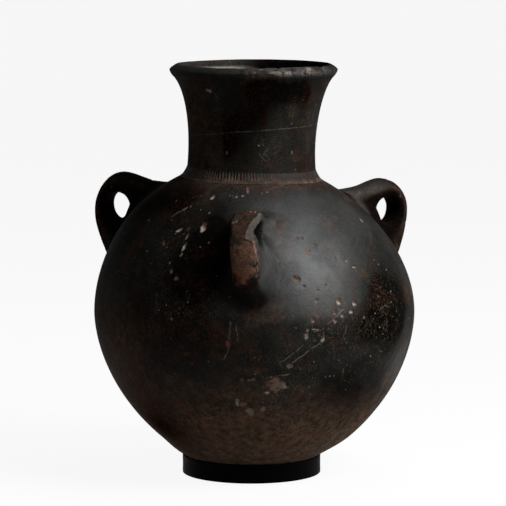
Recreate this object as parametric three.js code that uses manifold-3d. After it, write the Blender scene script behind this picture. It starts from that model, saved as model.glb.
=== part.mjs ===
import * as THREE from 'three';
import { mergeVertices } from 'three/addons/utils/BufferGeometryUtils.js';
import Module from 'manifold-3d';

const wasm = await Module();
wasm.setup();

// All sizes are in mm. Heights of the jar's own sizes are measured from the underside of its base.
// Body: two half shells, each a superellipse turned about the axis
const BELLY_RADIUS = 140;
const BOWL_DEPTH = 144;
const BASE_FLATTENING = 7.5;
const BOWL_FULLNESS = 1.8;
const SHOULDER_RISE = 132;
const SHOULDER_FULLNESS = 1.9;
const BODY_WALL = 7;
const FLOOR_THICKNESS = 9;
const SCARF_HEIGHT = 8;
const SLIP_GAP = 0.3;

// Neck: one curve from the shoulder through the waist to the flare under the lip
const NECK_ROOT_RADIUS = 57;
const NECK_WALL = 7.5;
const NECK_PULL_IN = 3.6;
const NECK_WAIST_RISE = 23.5;
const NECK_HEIGHT = 84.7;
const NECK_TOP_RADIUS = 69;
const NECK_FLARE_OUT = 12.6;
const NECK_FLARE_DROP = 16;

// Lip: a coil laid on the neck, bevelled outwards from its crest
const LIP_OVERHANG = 4.6;
const LIP_EDGE_RISE = 6.6;
const LIP_CREST_RISE = 12.4;
const LIP_CREST_INSET = 2.8;

// Notched band of clay pressed into the corner of neck and shoulder
const FILLET_WIDTH = 5.2;
const FILLET_HEIGHT = 7.4;
const FILLET_EDGE = 0.8;
const NOTCH_COUNT = 128;
const NOTCH_DEPTH = 1.1;

// Strap lugs round a small oval opening, with roots that flare where they were pressed on to the shoulder
const STRAP_WIDTH = 25;
const STRAP_ROUNDNESS = 2.6;
const ROOT_FLARE_RISE = 9;
const ROOT_WIDENING = 0.45;
const OPENING_SEAM_ANGLE = 185;
const OPENING_SEAM_ARC = 12;
const LUG_HEIGHT = 92;
const LUG_CROWN_INSET = 22.5;
const LUG_FOOT_INSET = 10;
const LUG_BROW_INSET = 6;
const LUG_BACK_DROP = 6.2;
const LUG_ROOT_DROP = 8;
const LUG_PIVOT_INSET = 52;
const LUG_ROOT_SINK = 4;
const LUG_SEAM_SINK = 8;
const FRONT_LUG = {
  azimuth: 0, yaw: -8, rise: 101.5, standOff: 12, bulgeDrop: 32,
  strap: 8.8, crown: 11, openingWidth: 25.2, openingHeight: 12.5,
};
const LEFT_LUG = {
  azimuth: -118, yaw: 1, rise: 115.8, standOff: 17.3, bulgeDrop: 38,
  strap: 11.8, crown: 18.7, openingWidth: 21.6, openingHeight: 22.4,
};
const RIGHT_LUG = {
  azimuth: 123, yaw: 1, rise: 109.1, standOff: 19.3, bulgeDrop: 29,
  strap: 12.6, crown: 17.4, openingWidth: 19.2, openingHeight: 20.6,
};

// Ring stand that the round bottom rests in
const RING_RADIUS = 60.4;
const RING_HEIGHT = 16;
const RING_WALL = 6;
const RING_LAND = 0.9;
const RING_CHAMFER = 0.5;
const SEAT_GAP = 0.3;

// Hand-built shape: how far the axis wanders to the side, and how much the shoulder tilts
const AXIS_AT_SEAT = -2.6;
const AXIS_AT_BOWL = 0.7;
const AXIS_AT_BELLY = 0;
const AXIS_AT_NECK = -2.6;
const AXIS_AT_LIP = -0.7;
const BOWL_TURN_RISE = 18;
const SHOULDER_TILT = 0.035;

// Fineness of the facets
const TURN_STEPS = 56;
const BOWL_STEPS = 9;
const SHOULDER_STEPS = 8;
const NECK_STEPS = 7;
const CURVE_STEPS = 3;
const STRAP_STEPS = 24;
const ROOT_STEPS = 4;
const STRAP_SIDES = 14;

const CLAY = new THREE.MeshStandardMaterial({ color: 0x35322f, roughness: 0.5, metalness: 0 });
const CLAY_WORN = new THREE.MeshStandardMaterial({ color: 0x5a4238, roughness: 0.7, metalness: 0 });
const RING_PAINT = new THREE.MeshStandardMaterial({ color: 0x121212, roughness: 0.45, metalness: 0 });

const bellyHeight = BOWL_DEPTH - BASE_FLATTENING;
const lugPivotRadius = BELLY_RADIUS - LUG_PIVOT_INSET;

// Radius of a superellipse of the given half width and half height, at a height from its middle
function superRadius(halfWidth, halfHeight, fullness, rise) {
  const share = Math.min(1, Math.abs(rise) / halfHeight);
  return halfWidth * (1 - share ** fullness) ** (1 / fullness);
}

// Rise of the same curve at a radius
function superRise(halfWidth, halfHeight, fullness, radius) {
  return superRadius(halfHeight, halfWidth, fullness, radius);
}

// Body surface at a depth under the outer skin: negative depth lies outside the clay
function bodyRadius(height, depth) {
  const rise = height - bellyHeight;
  if (rise < 0) {
    return superRadius(BELLY_RADIUS - depth, BOWL_DEPTH - depth, BOWL_FULLNESS, rise);
  }
  return superRadius(BELLY_RADIUS - depth, SHOULDER_RISE - depth, SHOULDER_FULLNESS, rise);
}

function shoulderHeight(radius, depth) {
  return bellyHeight
    + superRise(BELLY_RADIUS - depth, SHOULDER_RISE - depth, SHOULDER_FULLNESS, radius);
}

function bowlHeight(radius, depth) {
  return bellyHeight - superRise(BELLY_RADIUS - depth, BOWL_DEPTH - depth, BOWL_FULLNESS, radius);
}

// Evenly spread points of the body curve between two heights
function bodyCurve(fromHeight, toHeight, depth, steps) {
  const points = [];
  const start = curveAngle(fromHeight, depth);
  const end = curveAngle(toHeight, depth);
  for (let i = 0; i <= steps; i += 1) {
    const height = curveHeight(start + (end - start) * i / steps, depth);
    points.push(new THREE.Vector2(bodyRadius(height, depth), height));
  }
  return points;
}

function halfHeight(isUpper, depth) {
  return (isUpper ? SHOULDER_RISE : BOWL_DEPTH) - depth;
}

function curveAngle(height, depth) {
  const rise = height - bellyHeight;
  return Math.asin(THREE.MathUtils.clamp(rise / halfHeight(rise > 0, depth), -1, 1));
}

function curveHeight(angle, depth) {
  return bellyHeight + halfHeight(angle > 0, depth) * Math.sin(angle);
}

const neckFootHeight = shoulderHeight(NECK_ROOT_RADIUS, 0);
const neckTopHeight = neckFootHeight + NECK_HEIGHT;
const neckBore = NECK_ROOT_RADIUS - NECK_WALL;
const lipSeatHeight = neckTopHeight + SLIP_GAP;
const jarHeight = lipSeatHeight + LIP_CREST_RISE;
const seatRadius = RING_RADIUS - RING_LAND;
const jarLift = RING_HEIGHT - bowlHeight(seatRadius, 0) + SEAT_GAP;

// Smooth blend between values set at the seat, in the bowl, at the belly, the foot of the neck and the lip
function alongJar(height, values) {
  const seat = bowlHeight(seatRadius, 0);
  const heights = [seat, seat + BOWL_TURN_RISE, bellyHeight, neckFootHeight, jarHeight];
  let value = values[0];
  for (let i = 1; i < heights.length; i += 1) {
    const share = THREE.MathUtils.smoothstep(height, heights[i - 1], heights[i]);
    value += (values[i] - values[i - 1]) * share;
  }
  return value;
}

function handBuilt(geometry) {
  const axis = [AXIS_AT_SEAT, AXIS_AT_BOWL, AXIS_AT_BELLY, AXIS_AT_NECK, AXIS_AT_LIP];
  const tilt = [0, 0, 0, SHOULDER_TILT, 0];
  const place = geometry.getAttribute('position');
  for (let i = 0; i < place.count; i += 1) {
    const x = place.getX(i);
    const z = place.getZ(i);
    place.setX(i, x + alongJar(z, axis));
    place.setZ(i, z - x * alongJar(z, tilt));
  }
  return geometry;
}

// One closed skin: shared corners are joined and faces with no area are dropped
function closedSkin(geometry) {
  geometry.deleteAttribute('normal');
  geometry.deleteAttribute('uv');
  const skin = mergeVertices(geometry, 1e-4);
  const corners = skin.index.array;
  const kept = [];
  for (let i = 0; i < corners.length; i += 3) {
    const [a, b, c] = [corners[i], corners[i + 1], corners[i + 2]];
    if (a !== b && b !== c && a !== c) {
      kept.push(a, b, c);
    }
  }
  skin.setIndex(kept);
  return skin;
}

function revolve(profile) {
  const turned = new THREE.LatheGeometry(profile, TURN_STEPS);
  turned.rotateX(Math.PI / 2);
  return closedSkin(turned);
}

// Ring of equal sections around the axis, each section a closed run of radius and height
function ringOfSections(sections) {
  const sides = sections[0].length;
  const places = [];
  const faces = [];
  sections.forEach((section, step) => {
    const turn = step / sections.length * 2 * Math.PI;
    const next = (step + 1) % sections.length;
    section.forEach((point, side) => {
      places.push(point.x * Math.cos(turn), point.x * Math.sin(turn), point.y);
      const other = (side + 1) % sides;
      const a = step * sides + side;
      const b = next * sides + side;
      const c = next * sides + other;
      const d = step * sides + other;
      faces.push(a, b, c, a, c, d);
    });
  });
  return skinFrom(places, faces);
}

function skinFrom(places, faces) {
  const geometry = new THREE.BufferGeometry();
  geometry.setAttribute('position', new THREE.Float32BufferAttribute(places, 3));
  geometry.setIndex(faces);
  return geometry;
}

// Lower half: flattened base, outer skin up to the scarf, inner skin down to the floor
function lowerBowl() {
  const outerEdge = bellyHeight - SCARF_HEIGHT / 2;
  const innerEdge = bellyHeight + SCARF_HEIGHT / 2;
  const outside = bodyCurve(0, outerEdge, 0, BOWL_STEPS);
  const inside = bodyCurve(innerEdge, FLOOR_THICKNESS, BODY_WALL, BOWL_STEPS);
  const profile = [
    new THREE.Vector2(0, 0),
    ...outside,
    ...inside,
    new THREE.Vector2(0, FLOOR_THICKNESS),
  ];
  return handBuilt(revolve(profile));
}

// Upper half: it starts on the scarf of the bowl and ends at the bore of the neck
function shoulder() {
  const outerEdge = bellyHeight - SCARF_HEIGHT / 2 + SLIP_GAP;
  const innerEdge = bellyHeight + SCARF_HEIGHT / 2 + SLIP_GAP;
  const outside = bodyCurve(outerEdge, shoulderHeight(neckBore, 0), 0, SHOULDER_STEPS);
  const inside = bodyCurve(shoulderHeight(neckBore, BODY_WALL), innerEdge, BODY_WALL, SHOULDER_STEPS);
  const profile = [...outside, ...inside, outside[0].clone()];
  return handBuilt(revolve(profile));
}

// Curve of the neck at a depth under its outer skin
function neckCurve(depth) {
  const root = NECK_ROOT_RADIUS - depth;
  const top = NECK_TOP_RADIUS - depth;
  const foot = shoulderHeight(root, 0) + SLIP_GAP;
  return new THREE.CubicBezierCurve(
    new THREE.Vector2(root, foot),
    new THREE.Vector2(root - NECK_PULL_IN, foot + NECK_WAIST_RISE),
    new THREE.Vector2(top - NECK_FLARE_OUT, neckTopHeight - NECK_FLARE_DROP),
    new THREE.Vector2(top, neckTopHeight),
  );
}

function neck() {
  const outside = neckCurve(0).getPoints(NECK_STEPS);
  const inside = neckCurve(NECK_WALL).getPoints(NECK_STEPS).reverse();
  return handBuilt(revolve([...outside, ...inside, outside[0].clone()]));
}

// Lip: flat on the neck, a rounded outer edge, a bevel up to the crest and a rounded inner edge
function rimCoil() {
  const bore = NECK_TOP_RADIUS - NECK_WALL;
  const rim = NECK_TOP_RADIUS + LIP_OVERHANG;
  const ridge = NECK_TOP_RADIUS - LIP_CREST_INSET;
  const edge = lipSeatHeight + LIP_EDGE_RISE;
  const crest = lipSeatHeight + LIP_CREST_RISE;
  const section = new THREE.Path();
  section.moveTo(bore, lipSeatHeight);
  section.lineTo(NECK_TOP_RADIUS, lipSeatHeight);
  section.quadraticCurveTo(rim - 0.6, edge - 3, rim, edge);
  section.quadraticCurveTo(rim - 0.5, edge + 2.2, ridge + 1, crest - 0.5);
  section.quadraticCurveTo(ridge - 1, crest + 0.5, bore + 1.2, crest - 3.5);
  section.lineTo(bore, lipSeatHeight);
  return handBuilt(revolve(section.getPoints(CURVE_STEPS)));
}

// Section of the neck band, pressed in by the notch depth where the tool bit
function filletSection(bite) {
  const footGap = SLIP_GAP / Math.cos(Math.PI / 6);
  const inner = NECK_ROOT_RADIUS + SLIP_GAP;
  const outer = NECK_ROOT_RADIUS + FILLET_WIDTH;
  const innerFoot = shoulderHeight(inner, 0) + footGap;
  const outerFoot = shoulderHeight(outer, 0) + footGap;
  const top = innerFoot + FILLET_HEIGHT;
  const middle = (inner + outer) / 2;
  return [
    new THREE.Vector2(inner, innerFoot),
    new THREE.Vector2(outer, outerFoot),
    new THREE.Vector2(outer - bite / 2, outerFoot + FILLET_EDGE),
    new THREE.Vector2(middle - bite * 0.7, (outerFoot + top) / 2 - bite * 0.7),
    new THREE.Vector2(inner + FILLET_EDGE - bite / 3, top),
    new THREE.Vector2(inner, top),
  ];
}

function neckFillet() {
  const sections = [];
  for (let i = 0; i < NOTCH_COUNT; i += 1) {
    sections.push(filletSection(0));
    sections.push(filletSection(NOTCH_DEPTH));
  }
  return handBuilt(ringOfSections(sections));
}

function lugTop(lug) {
  return bellyHeight + lug.rise;
}

function lugReach(lug) {
  return BELLY_RADIUS + lug.standOff;
}

// Outer line of a strap in the upright plane of its lug: radius from the axis and height
function outerLine(lug) {
  const top = lugTop(lug);
  const reach = lugReach(lug);
  const foot = top - LUG_HEIGHT;
  const crown = reach - LUG_CROWN_INSET;
  const root = bodyRadius(top - LUG_ROOT_DROP, LUG_ROOT_SINK);
  return new THREE.CatmullRomCurve3([
    new THREE.Vector3(bodyRadius(foot, LUG_ROOT_SINK), foot, 0),
    new THREE.Vector3(reach - LUG_FOOT_INSET, top - LUG_HEIGHT * 0.78, 0),
    new THREE.Vector3(reach, top - lug.bulgeDrop, 0),
    new THREE.Vector3(reach - LUG_BROW_INSET, top - lug.bulgeDrop * 0.36, 0),
    new THREE.Vector3(crown, top, 0),
    new THREE.Vector3((crown + root) / 2, top - LUG_BACK_DROP, 0),
    new THREE.Vector3(root, top - LUG_ROOT_DROP, 0),
  ]);
}

// Line sunk into the body that joins the upper root to the foot, deepest half way
function sunkPoint(lug, share) {
  const height = lugTop(lug) - THREE.MathUtils.lerp(LUG_ROOT_DROP, LUG_HEIGHT, share);
  const depth = LUG_ROOT_SINK + LUG_SEAM_SINK * Math.sin(Math.PI * share);
  return new THREE.Vector3(bodyRadius(height, depth), height, 0);
}

// Point of the oval opening: its two ends meet in a seam on the side of the body
function openingPoint(lug, turn) {
  const middle = lugReach(lug) - lug.strap - lug.openingWidth / 2;
  const height = lugTop(lug) - lug.crown - lug.openingHeight / 2;
  const angle = THREE.MathUtils.degToRad(turn);
  const out = lug.openingWidth / 2 * Math.cos(angle);
  const up = lug.openingHeight / 2 * Math.sin(angle);
  return new THREE.Vector3(middle + out, height + up, 0);
}

// How much a lug spreads at a point of its upright plane, the more the nearer it is to the body
function rootFlare(point) {
  const gap = Math.max(0, point.x - bodyRadius(point.y, 0));
  return Math.max(0, 1 - gap / ROOT_FLARE_RISE) ** 2;
}

// Rounded section of the strap between its inner and its outer line
function strapSection(inner, outer) {
  const points = [];
  const middle = inner.clone().lerp(outer, 0.5);
  const outwards = outer.clone().sub(middle);
  for (let i = 0; i < STRAP_SIDES; i += 1) {
    const turn = i / STRAP_SIDES * 2 * Math.PI;
    const u = Math.sign(Math.cos(turn)) * Math.abs(Math.cos(turn)) ** (2 / STRAP_ROUNDNESS);
    const v = Math.sign(Math.sin(turn)) * Math.abs(Math.sin(turn)) ** (2 / STRAP_ROUNDNESS);
    const point = middle.clone().addScaledVector(outwards, v);
    point.z = u * STRAP_WIDTH / 2 * (1 + ROOT_WIDENING * rootFlare(point));
    points.push(point);
  }
  return points;
}

// Sections of a lug: along the strap from the foot to the upper root, then back through the body
function lugSections(lug) {
  const outer = outerLine(lug);
  const seam = OPENING_SEAM_ANGLE - OPENING_SEAM_ARC;
  const strapArc = 360 - OPENING_SEAM_ARC;
  const sections = [];
  for (let i = 0; i <= STRAP_STEPS; i += 1) {
    const along = i / STRAP_STEPS;
    const inner = openingPoint(lug, seam - strapArc * (1 - along));
    sections.push(strapSection(inner, outer.getPointAt(along)));
  }
  for (let i = 1; i < ROOT_STEPS; i += 1) {
    const share = i / ROOT_STEPS;
    const inner = openingPoint(lug, seam + OPENING_SEAM_ARC * share);
    sections.push(strapSection(inner, sunkPoint(lug, share)));
  }
  return sections;
}

// Strap lofted round its opening, closed on itself
function loftedStrap(lug) {
  const sections = lugSections(lug);
  const places = [];
  const faces = [];
  sections.forEach((section, step) => {
    const next = (step + 1) % sections.length;
    section.forEach((point, side) => {
      places.push(point.x, point.y, point.z);
      const other = (side + 1) % STRAP_SIDES;
      const a = step * STRAP_SIDES + side;
      const b = step * STRAP_SIDES + other;
      const c = next * STRAP_SIDES + other;
      const d = next * STRAP_SIDES + side;
      faces.push(a, b, c, a, c, d);
    });
  });
  return skinFrom(places, faces);
}

// Turns the lug's upright plane to its place on the shoulder: azimuth 0 is the front, towards -Y
function placeLug(geometry, lug) {
  const azimuth = THREE.MathUtils.degToRad(lug.azimuth);
  const yaw = THREE.MathUtils.degToRad(lug.yaw);
  geometry.rotateX(Math.PI / 2);
  geometry.translate(-lugPivotRadius, 0, 0);
  geometry.rotateZ(yaw);
  geometry.translate(lugPivotRadius, 0, 0);
  geometry.rotateZ(azimuth - Math.PI / 2);
  return geometry;
}

function toManifold(geometry) {
  const mesh = new wasm.Mesh({
    numProp: 3,
    vertProperties: new Float32Array(geometry.getAttribute('position').array),
    triVerts: new Uint32Array(geometry.index.array),
  });
  return new wasm.Manifold(mesh);
}

function fromManifold(solid) {
  const mesh = solid.getMesh();
  return skinFrom(Array.from(mesh.vertProperties), Array.from(mesh.triVerts));
}

// The body filled to its outer skin and grown by the slip gap, for trimming what is luted to it
function bodyTrimmer() {
  const low = bodyCurve(0, bellyHeight, -SLIP_GAP, BOWL_STEPS);
  const high = bodyCurve(bellyHeight, shoulderHeight(neckBore, -SLIP_GAP), -SLIP_GAP, SHOULDER_STEPS);
  const profile = [
    new THREE.Vector2(0, 0),
    ...low,
    ...high.slice(1),
    new THREE.Vector2(0, shoulderHeight(neckBore, -SLIP_GAP)),
  ];
  return toManifold(handBuilt(revolve(profile)));
}

function strapLug(lug, trimmer) {
  const strap = toManifold(placeLug(loftedStrap(lug), lug));
  return fromManifold(strap.subtract(trimmer));
}

// Ring: flat foot, straight outer wall, narrow land and a seat cut to the curve of the bowl
function ringStand() {
  const bore = RING_RADIUS - RING_WALL;
  const seat = (radius) => Math.min(RING_HEIGHT, bowlHeight(radius, -SEAT_GAP) + jarLift);
  const profile = [
    new THREE.Vector2(bore, 0),
    new THREE.Vector2(RING_RADIUS - RING_CHAMFER, 0),
    new THREE.Vector2(RING_RADIUS, RING_CHAMFER),
    new THREE.Vector2(RING_RADIUS, RING_HEIGHT - RING_CHAMFER),
    new THREE.Vector2(RING_RADIUS - RING_CHAMFER, RING_HEIGHT),
    new THREE.Vector2(seatRadius, seat(seatRadius)),
    new THREE.Vector2((seatRadius + bore) / 2, seat((seatRadius + bore) / 2)),
    new THREE.Vector2(bore, seat(bore)),
    new THREE.Vector2(bore, 0),
  ];
  const ring = revolve(profile);
  ring.translate(AXIS_AT_SEAT, 0, 0);
  return ring;
}

function named(name, geometry, material, lift) {
  geometry.translate(0, FRONT_LUG.standOff / 2, lift);
  geometry.computeVertexNormals();
  const mesh = new THREE.Mesh(geometry, material);
  mesh.name = name;
  return mesh;
}

const trimmer = bodyTrimmer();
const jar = new THREE.Group();
jar.name = 'three_lugged_jar';
jar.add(named('ring_stand', ringStand(), RING_PAINT, 0));
jar.add(named('lower_bowl', lowerBowl(), CLAY, jarLift));
jar.add(named('shoulder', shoulder(), CLAY, jarLift));
jar.add(named('neck', neck(), CLAY, jarLift));
jar.add(named('rim_coil', rimCoil(), CLAY, jarLift));
jar.add(named('neck_fillet', neckFillet(), CLAY, jarLift));
jar.add(named('front_lug', strapLug(FRONT_LUG, trimmer), CLAY_WORN, jarLift));
jar.add(named('left_lug', strapLug(LEFT_LUG, trimmer), CLAY, jarLift));
jar.add(named('right_lug', strapLug(RIGHT_LUG, trimmer), CLAY, jarLift));

export default jar;
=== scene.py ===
"""Black burnished jar with three strap lugs, standing in a loose ring: one Operator for each piece."""
import math
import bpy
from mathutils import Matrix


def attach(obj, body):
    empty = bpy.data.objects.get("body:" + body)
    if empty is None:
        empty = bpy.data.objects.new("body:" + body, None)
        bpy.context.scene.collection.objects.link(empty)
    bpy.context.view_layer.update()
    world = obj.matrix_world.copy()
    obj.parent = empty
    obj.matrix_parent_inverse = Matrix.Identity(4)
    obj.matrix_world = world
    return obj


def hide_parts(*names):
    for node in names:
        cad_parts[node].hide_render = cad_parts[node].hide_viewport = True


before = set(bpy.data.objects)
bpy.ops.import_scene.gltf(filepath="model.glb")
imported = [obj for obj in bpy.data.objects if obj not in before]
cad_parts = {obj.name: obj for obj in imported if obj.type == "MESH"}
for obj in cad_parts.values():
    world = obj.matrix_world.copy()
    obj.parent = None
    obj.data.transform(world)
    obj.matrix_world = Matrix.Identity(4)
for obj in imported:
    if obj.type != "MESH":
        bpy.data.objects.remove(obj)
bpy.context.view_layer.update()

from types import SimpleNamespace

import bpy
import numpy as np
from bpy.props import FloatProperty, FloatVectorProperty, IntProperty, PointerProperty
from mathutils import Vector

bl_info = {
    "name": "Three-lugged burnished jar",
    "version": (1, 0, 0),
    "blender": (4, 5, 0),
    "location": "View3D > Sidebar > Jar",
    "description": "Dresses the jar and its ring stand in smoked, worn clay and satin paint",
    "category": "Object",
}


# ---------------------------------------------------------------- values that a user would change

def linear(code):
    """Linear RGB of an sRGB hex colour."""
    parts = [int(code[i:i + 2], 16) / 255 for i in (1, 3, 5)]
    return tuple(c / 12.92 if c <= 0.04045 else ((c + 0.055) / 1.055) ** 2.4 for c in parts)


def length(name, mm, description):
    return FloatProperty(name=name, description=description, default=mm / 1000, unit='LENGTH', precision=4)


def number(name, value, description, unit='NONE'):
    return FloatProperty(name=name, description=description, default=value, unit=unit)


def colour(name, code, description):
    return FloatVectorProperty(name=name, description=description, default=linear(code), subtype='COLOR',
                               size=3, min=0, max=1)


class JarShape(bpy.types.PropertyGroup):
    """Sizes of the clay, the same as those of the solids."""
    belly_radius: length("Belly radius", 140, "Radius of the body at its widest")
    bowl_depth: length("Bowl depth", 144, "Half height of the curve of the lower half")
    base_flattening: length("Base flattening", 7.5, "How much of that curve the flat base cuts off")
    bowl_fullness: number("Bowl fullness", 1.8, "Power of the lower curve; 2 is round")
    shoulder_rise: length("Shoulder rise", 132, "Half height of the curve of the upper half")
    shoulder_fullness: number("Shoulder fullness", 1.9, "Power of the upper curve")
    wall: length("Wall", 7, "Thickness of the body wall")
    floor: length("Floor", 9, "Thickness of the base")
    scarf: length("Scarf", 8, "Height of the slanted joint of bowl and shoulder")
    slip_gap: length("Slip gap", 0.3, "Gap of the luted joints")
    neck_root: length("Neck root radius", 57, "Radius of the neck where it stands on the shoulder")
    neck_wall: length("Neck wall", 7.5, "Thickness of the neck")
    neck_pull_in: length("Neck pull-in", 3.6, "How far the waist draws in")
    neck_waist_rise: length("Waist rise", 23.5, "Height of the waist over the foot of the neck")
    neck_height: length("Neck height", 84.7, "Height of the neck without its lip")
    neck_top: length("Neck top radius", 69, "Radius of the neck under the lip")
    neck_flare_out: length("Flare out", 12.6, "How far the flare leans outwards")
    neck_flare_drop: length("Flare drop", 16, "How far below the lip the flare starts")
    lip_overhang: length("Lip overhang", 4.6, "How far the lip stands out from the neck")
    lip_edge_rise: length("Lip edge rise", 6.6, "Height of the outer edge of the lip over its seat")
    lip_crest_rise: length("Lip crest rise", 12.4, "Height of the crest over the seat")
    lip_crest_inset: length("Lip crest inset", 2.8, "How far the crest lies inside the neck top")
    band_width: length("Band width", 5.2, "Width of the notched band on the shoulder")
    band_height: length("Band height", 7.4, "Height of the notched band on the neck")
    notch_depth: length("Notch depth", 1.1, "Depth of the tool notches")
    notches: IntProperty(name="Notches", default=128, description="Tool notches around the band")
    ring_radius: length("Ring radius", 60.4, "Outer radius of the ring stand")
    ring_height: length("Ring height", 16, "Height of the ring stand")
    ring_wall: length("Ring wall", 6, "Thickness of the ring stand")
    ring_land: length("Ring land", 0.9, "Width of the flat top of the ring")
    ring_chamfer: length("Ring chamfer", 0.5, "Broken edges of the ring")
    seat_gap: length("Seat gap", 0.3, "Gap of the jar on its seat")
    axis_at_seat: length("Axis at seat", -2.6, "Sideways place of the axis at the seat")
    axis_at_bowl: length("Axis at bowl", 0.7, "Sideways place of the axis in the bowl")
    axis_at_neck: length("Axis at neck", -2.6, "Sideways place of the axis at the foot of the neck")
    axis_at_lip: length("Axis at lip", -0.7, "Sideways place of the axis at the lip")
    bowl_turn: length("Bowl turn", 18, "Height in which the axis turns above the seat")
    shoulder_tilt: number("Shoulder tilt", 0.035, "Slope of the shoulder to the right")


class LugShape(bpy.types.PropertyGroup):
    """Sizes that the three strap lugs share."""
    width: length("Strap width", 25, "Width of a strap")
    roundness: number("Roundness", 2.6, "Power of a strap's section; 2 is an ellipse")
    flare_rise: length("Flare rise", 9, "Distance from the body in which a lug spreads")
    widening: number("Root widening", 0.45, "Share by which a root is wider")
    height: length("Lug height", 92, "Height of a lug from foot to crown")
    crown_inset: length("Crown inset", 22.5, "How far the crown lies behind the bulge")
    foot_inset: length("Foot inset", 10, "How far the lower strap lies behind the bulge")
    brow_inset: length("Brow inset", 6, "How far the strap over the bulge lies behind it")
    back_drop: length("Back drop", 6.2, "Drop of the crown halfway to its root")
    root_drop: length("Root drop", 8, "Drop of the crown at its root")
    pivot_inset: length("Pivot inset", 52, "How far inside the belly a lug was turned in its place")
    root_sink: length("Root sink", 4, "How deep the roots go into the body")
    seam_sink: length("Seam sink", 8, "How much deeper the line between the roots goes")
    blend: length("Thumbed blend", 9, "Radius of the clay smoothed into the corner at a root")


class JarColours(bpy.types.PropertyGroup):
    """Colours of the clay, the paint and the stage."""
    smoked: colour("Smoked clay", "#1d1d1b", "Burnished clay, blackened in a smoky fire")
    # Soot, also used as painted shade: in the mouth, in the lug openings, in the band's notches and as the front lug's
    # shadow
    soot: colour("Soot", "#070605", "Deepest black of the firing clouds")
    brown: colour("Oxidised clay", "#5a4a3a", "Clay that the fire turned brown")
    worn: colour("Worn clay", "#624839", "Rubbed strap of the front lug")
    # Pale clay of the breaks, also used as painted light on the left of the mouth's inside
    broken: colour("Broken clay", "#a89c90", "Pale body of the clay in fresh breaks")
    chalk: colour("Chalky grit", "#a89e92", "Pale grit that shows as specks")
    rust: colour("Rust", "#6a3420", "Iron-rich stains")
    grit: colour("Grit", "#78240e", "Iron-rich grit in the browned clay")
    scuffed: colour("Scuffed skin", "#7a705c", "Fine scuffs in the black skin")
    paint: colour("Ring paint", "#020202", "Satin black paint of the ring")
    card: colour("Card", "#f4f4f4", "Floor and backdrop, as they are seen")
    card_bounce: colour("Card bounce", "#a4a4a4", "Floor and backdrop, for the light that they throw back")


class StageSettings(bpy.types.PropertyGroup):
    """Camera and lamps."""
    distance: number("Camera distance", 2.70, "From the jar's axis", 'LENGTH')
    eye_height: number("Eye height", 0.513, "Camera above the floor", 'LENGTH')
    aim_height: number("Aim height", 0.1925, "Point the camera looks at", 'LENGTH')
    aside: number("Aside", -0.0013, "Sideways place of the camera", 'LENGTH')
    lens: number("Lens", 222.1, "Focal length in mm on a 36 mm frame")
    key_power: number("Key lamp", 34, "Large soft lamp at the right", 'POWER')
    top_power: number("Top lamp", 8, "Soft lamp overhead", 'POWER')
    low_power: number("Low lamp", 4, "Reflector low at the right", 'POWER')
    room: number("Room light", 0.012, "Strength of the dim room")


# ---------------------------------------------------------------- curves of the jar

def super_radius(half_width, half_height, fullness, rise):
    share = np.clip(np.abs(rise) / half_height, 0, 1)
    return half_width * (1 - share ** fullness) ** (1 / fullness)


def belly_height(s):
    return s.bowl_depth - s.base_flattening


def body_radius(s, height, depth=0.0):
    """Radius of the body skin, or of a skin some depth under it."""
    rise = np.asarray(height, float) - belly_height(s)
    low = super_radius(s.belly_radius - depth, s.bowl_depth - depth, s.bowl_fullness, rise)
    high = super_radius(s.belly_radius - depth, s.shoulder_rise - depth, s.shoulder_fullness, rise)
    return np.where(rise < 0, low, high)


def shoulder_height(s, radius, depth=0.0):
    rise = super_radius(s.shoulder_rise - depth, s.belly_radius - depth, s.shoulder_fullness, radius)
    return belly_height(s) + rise


def bowl_height(s, radius, depth=0.0):
    drop = super_radius(s.bowl_depth - depth, s.belly_radius - depth, s.bowl_fullness, radius)
    return belly_height(s) - drop


def body_curve(s, start, end, depth, steps):
    """Points (radius, height) of the body skin, evenly spread between two heights."""
    def angle(height):
        rise = height - belly_height(s)
        half = (s.shoulder_rise if rise > 0 else s.bowl_depth) - depth
        return math.asin(max(-1.0, min(1.0, rise / half)))
    turn = np.linspace(angle(start), angle(end), steps + 1)
    half = np.where(turn > 0, s.shoulder_rise, s.bowl_depth) - depth
    height = belly_height(s) + half * np.sin(turn)
    return np.stack([body_radius(s, height, depth), height], 1)


def neck_curve(s, depth, steps):
    root = s.neck_root - depth
    top = s.neck_top - depth
    foot = shoulder_height(s, root) + s.slip_gap
    crown = shoulder_height(s, s.neck_root) + s.neck_height
    corners = np.array([(root, foot), (root - s.neck_pull_in, foot + s.neck_waist_rise),
                        (top - s.neck_flare_out, crown - s.neck_flare_drop), (top, crown)])
    t = np.linspace(0, 1, steps + 1)[:, None]
    a, b, c, d = corners
    return a * (1 - t) ** 3 + 3 * b * t * (1 - t) ** 2 + 3 * c * t ** 2 * (1 - t) + d * t ** 3


def bend(a, b, c, steps):
    """Points from a to c, drawn towards b; a itself is left out."""
    t = np.linspace(0, 1, steps + 1)[1:, None]
    return np.array(a) * (1 - t) ** 2 + 2 * np.array(b) * t * (1 - t) + np.array(c) * t ** 2


def rotated(x, y, degrees):
    """Points of a plane, turned about its origin."""
    c, sn = math.cos(math.radians(degrees)), math.sin(math.radians(degrees))
    return x * c - y * sn, x * sn + y * c


def unit(vectors):
    return vectors / np.maximum(np.linalg.norm(vectors, axis=-1, keepdims=True), 1e-12)


def smoothstep(value, low, high):
    t = np.clip((value - low) / (high - low), 0, 1)
    return t * t * (3 - 2 * t)


def jar_lift(s):
    return s.ring_height - bowl_height(s, s.ring_radius - s.ring_land) + s.seat_gap


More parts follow.
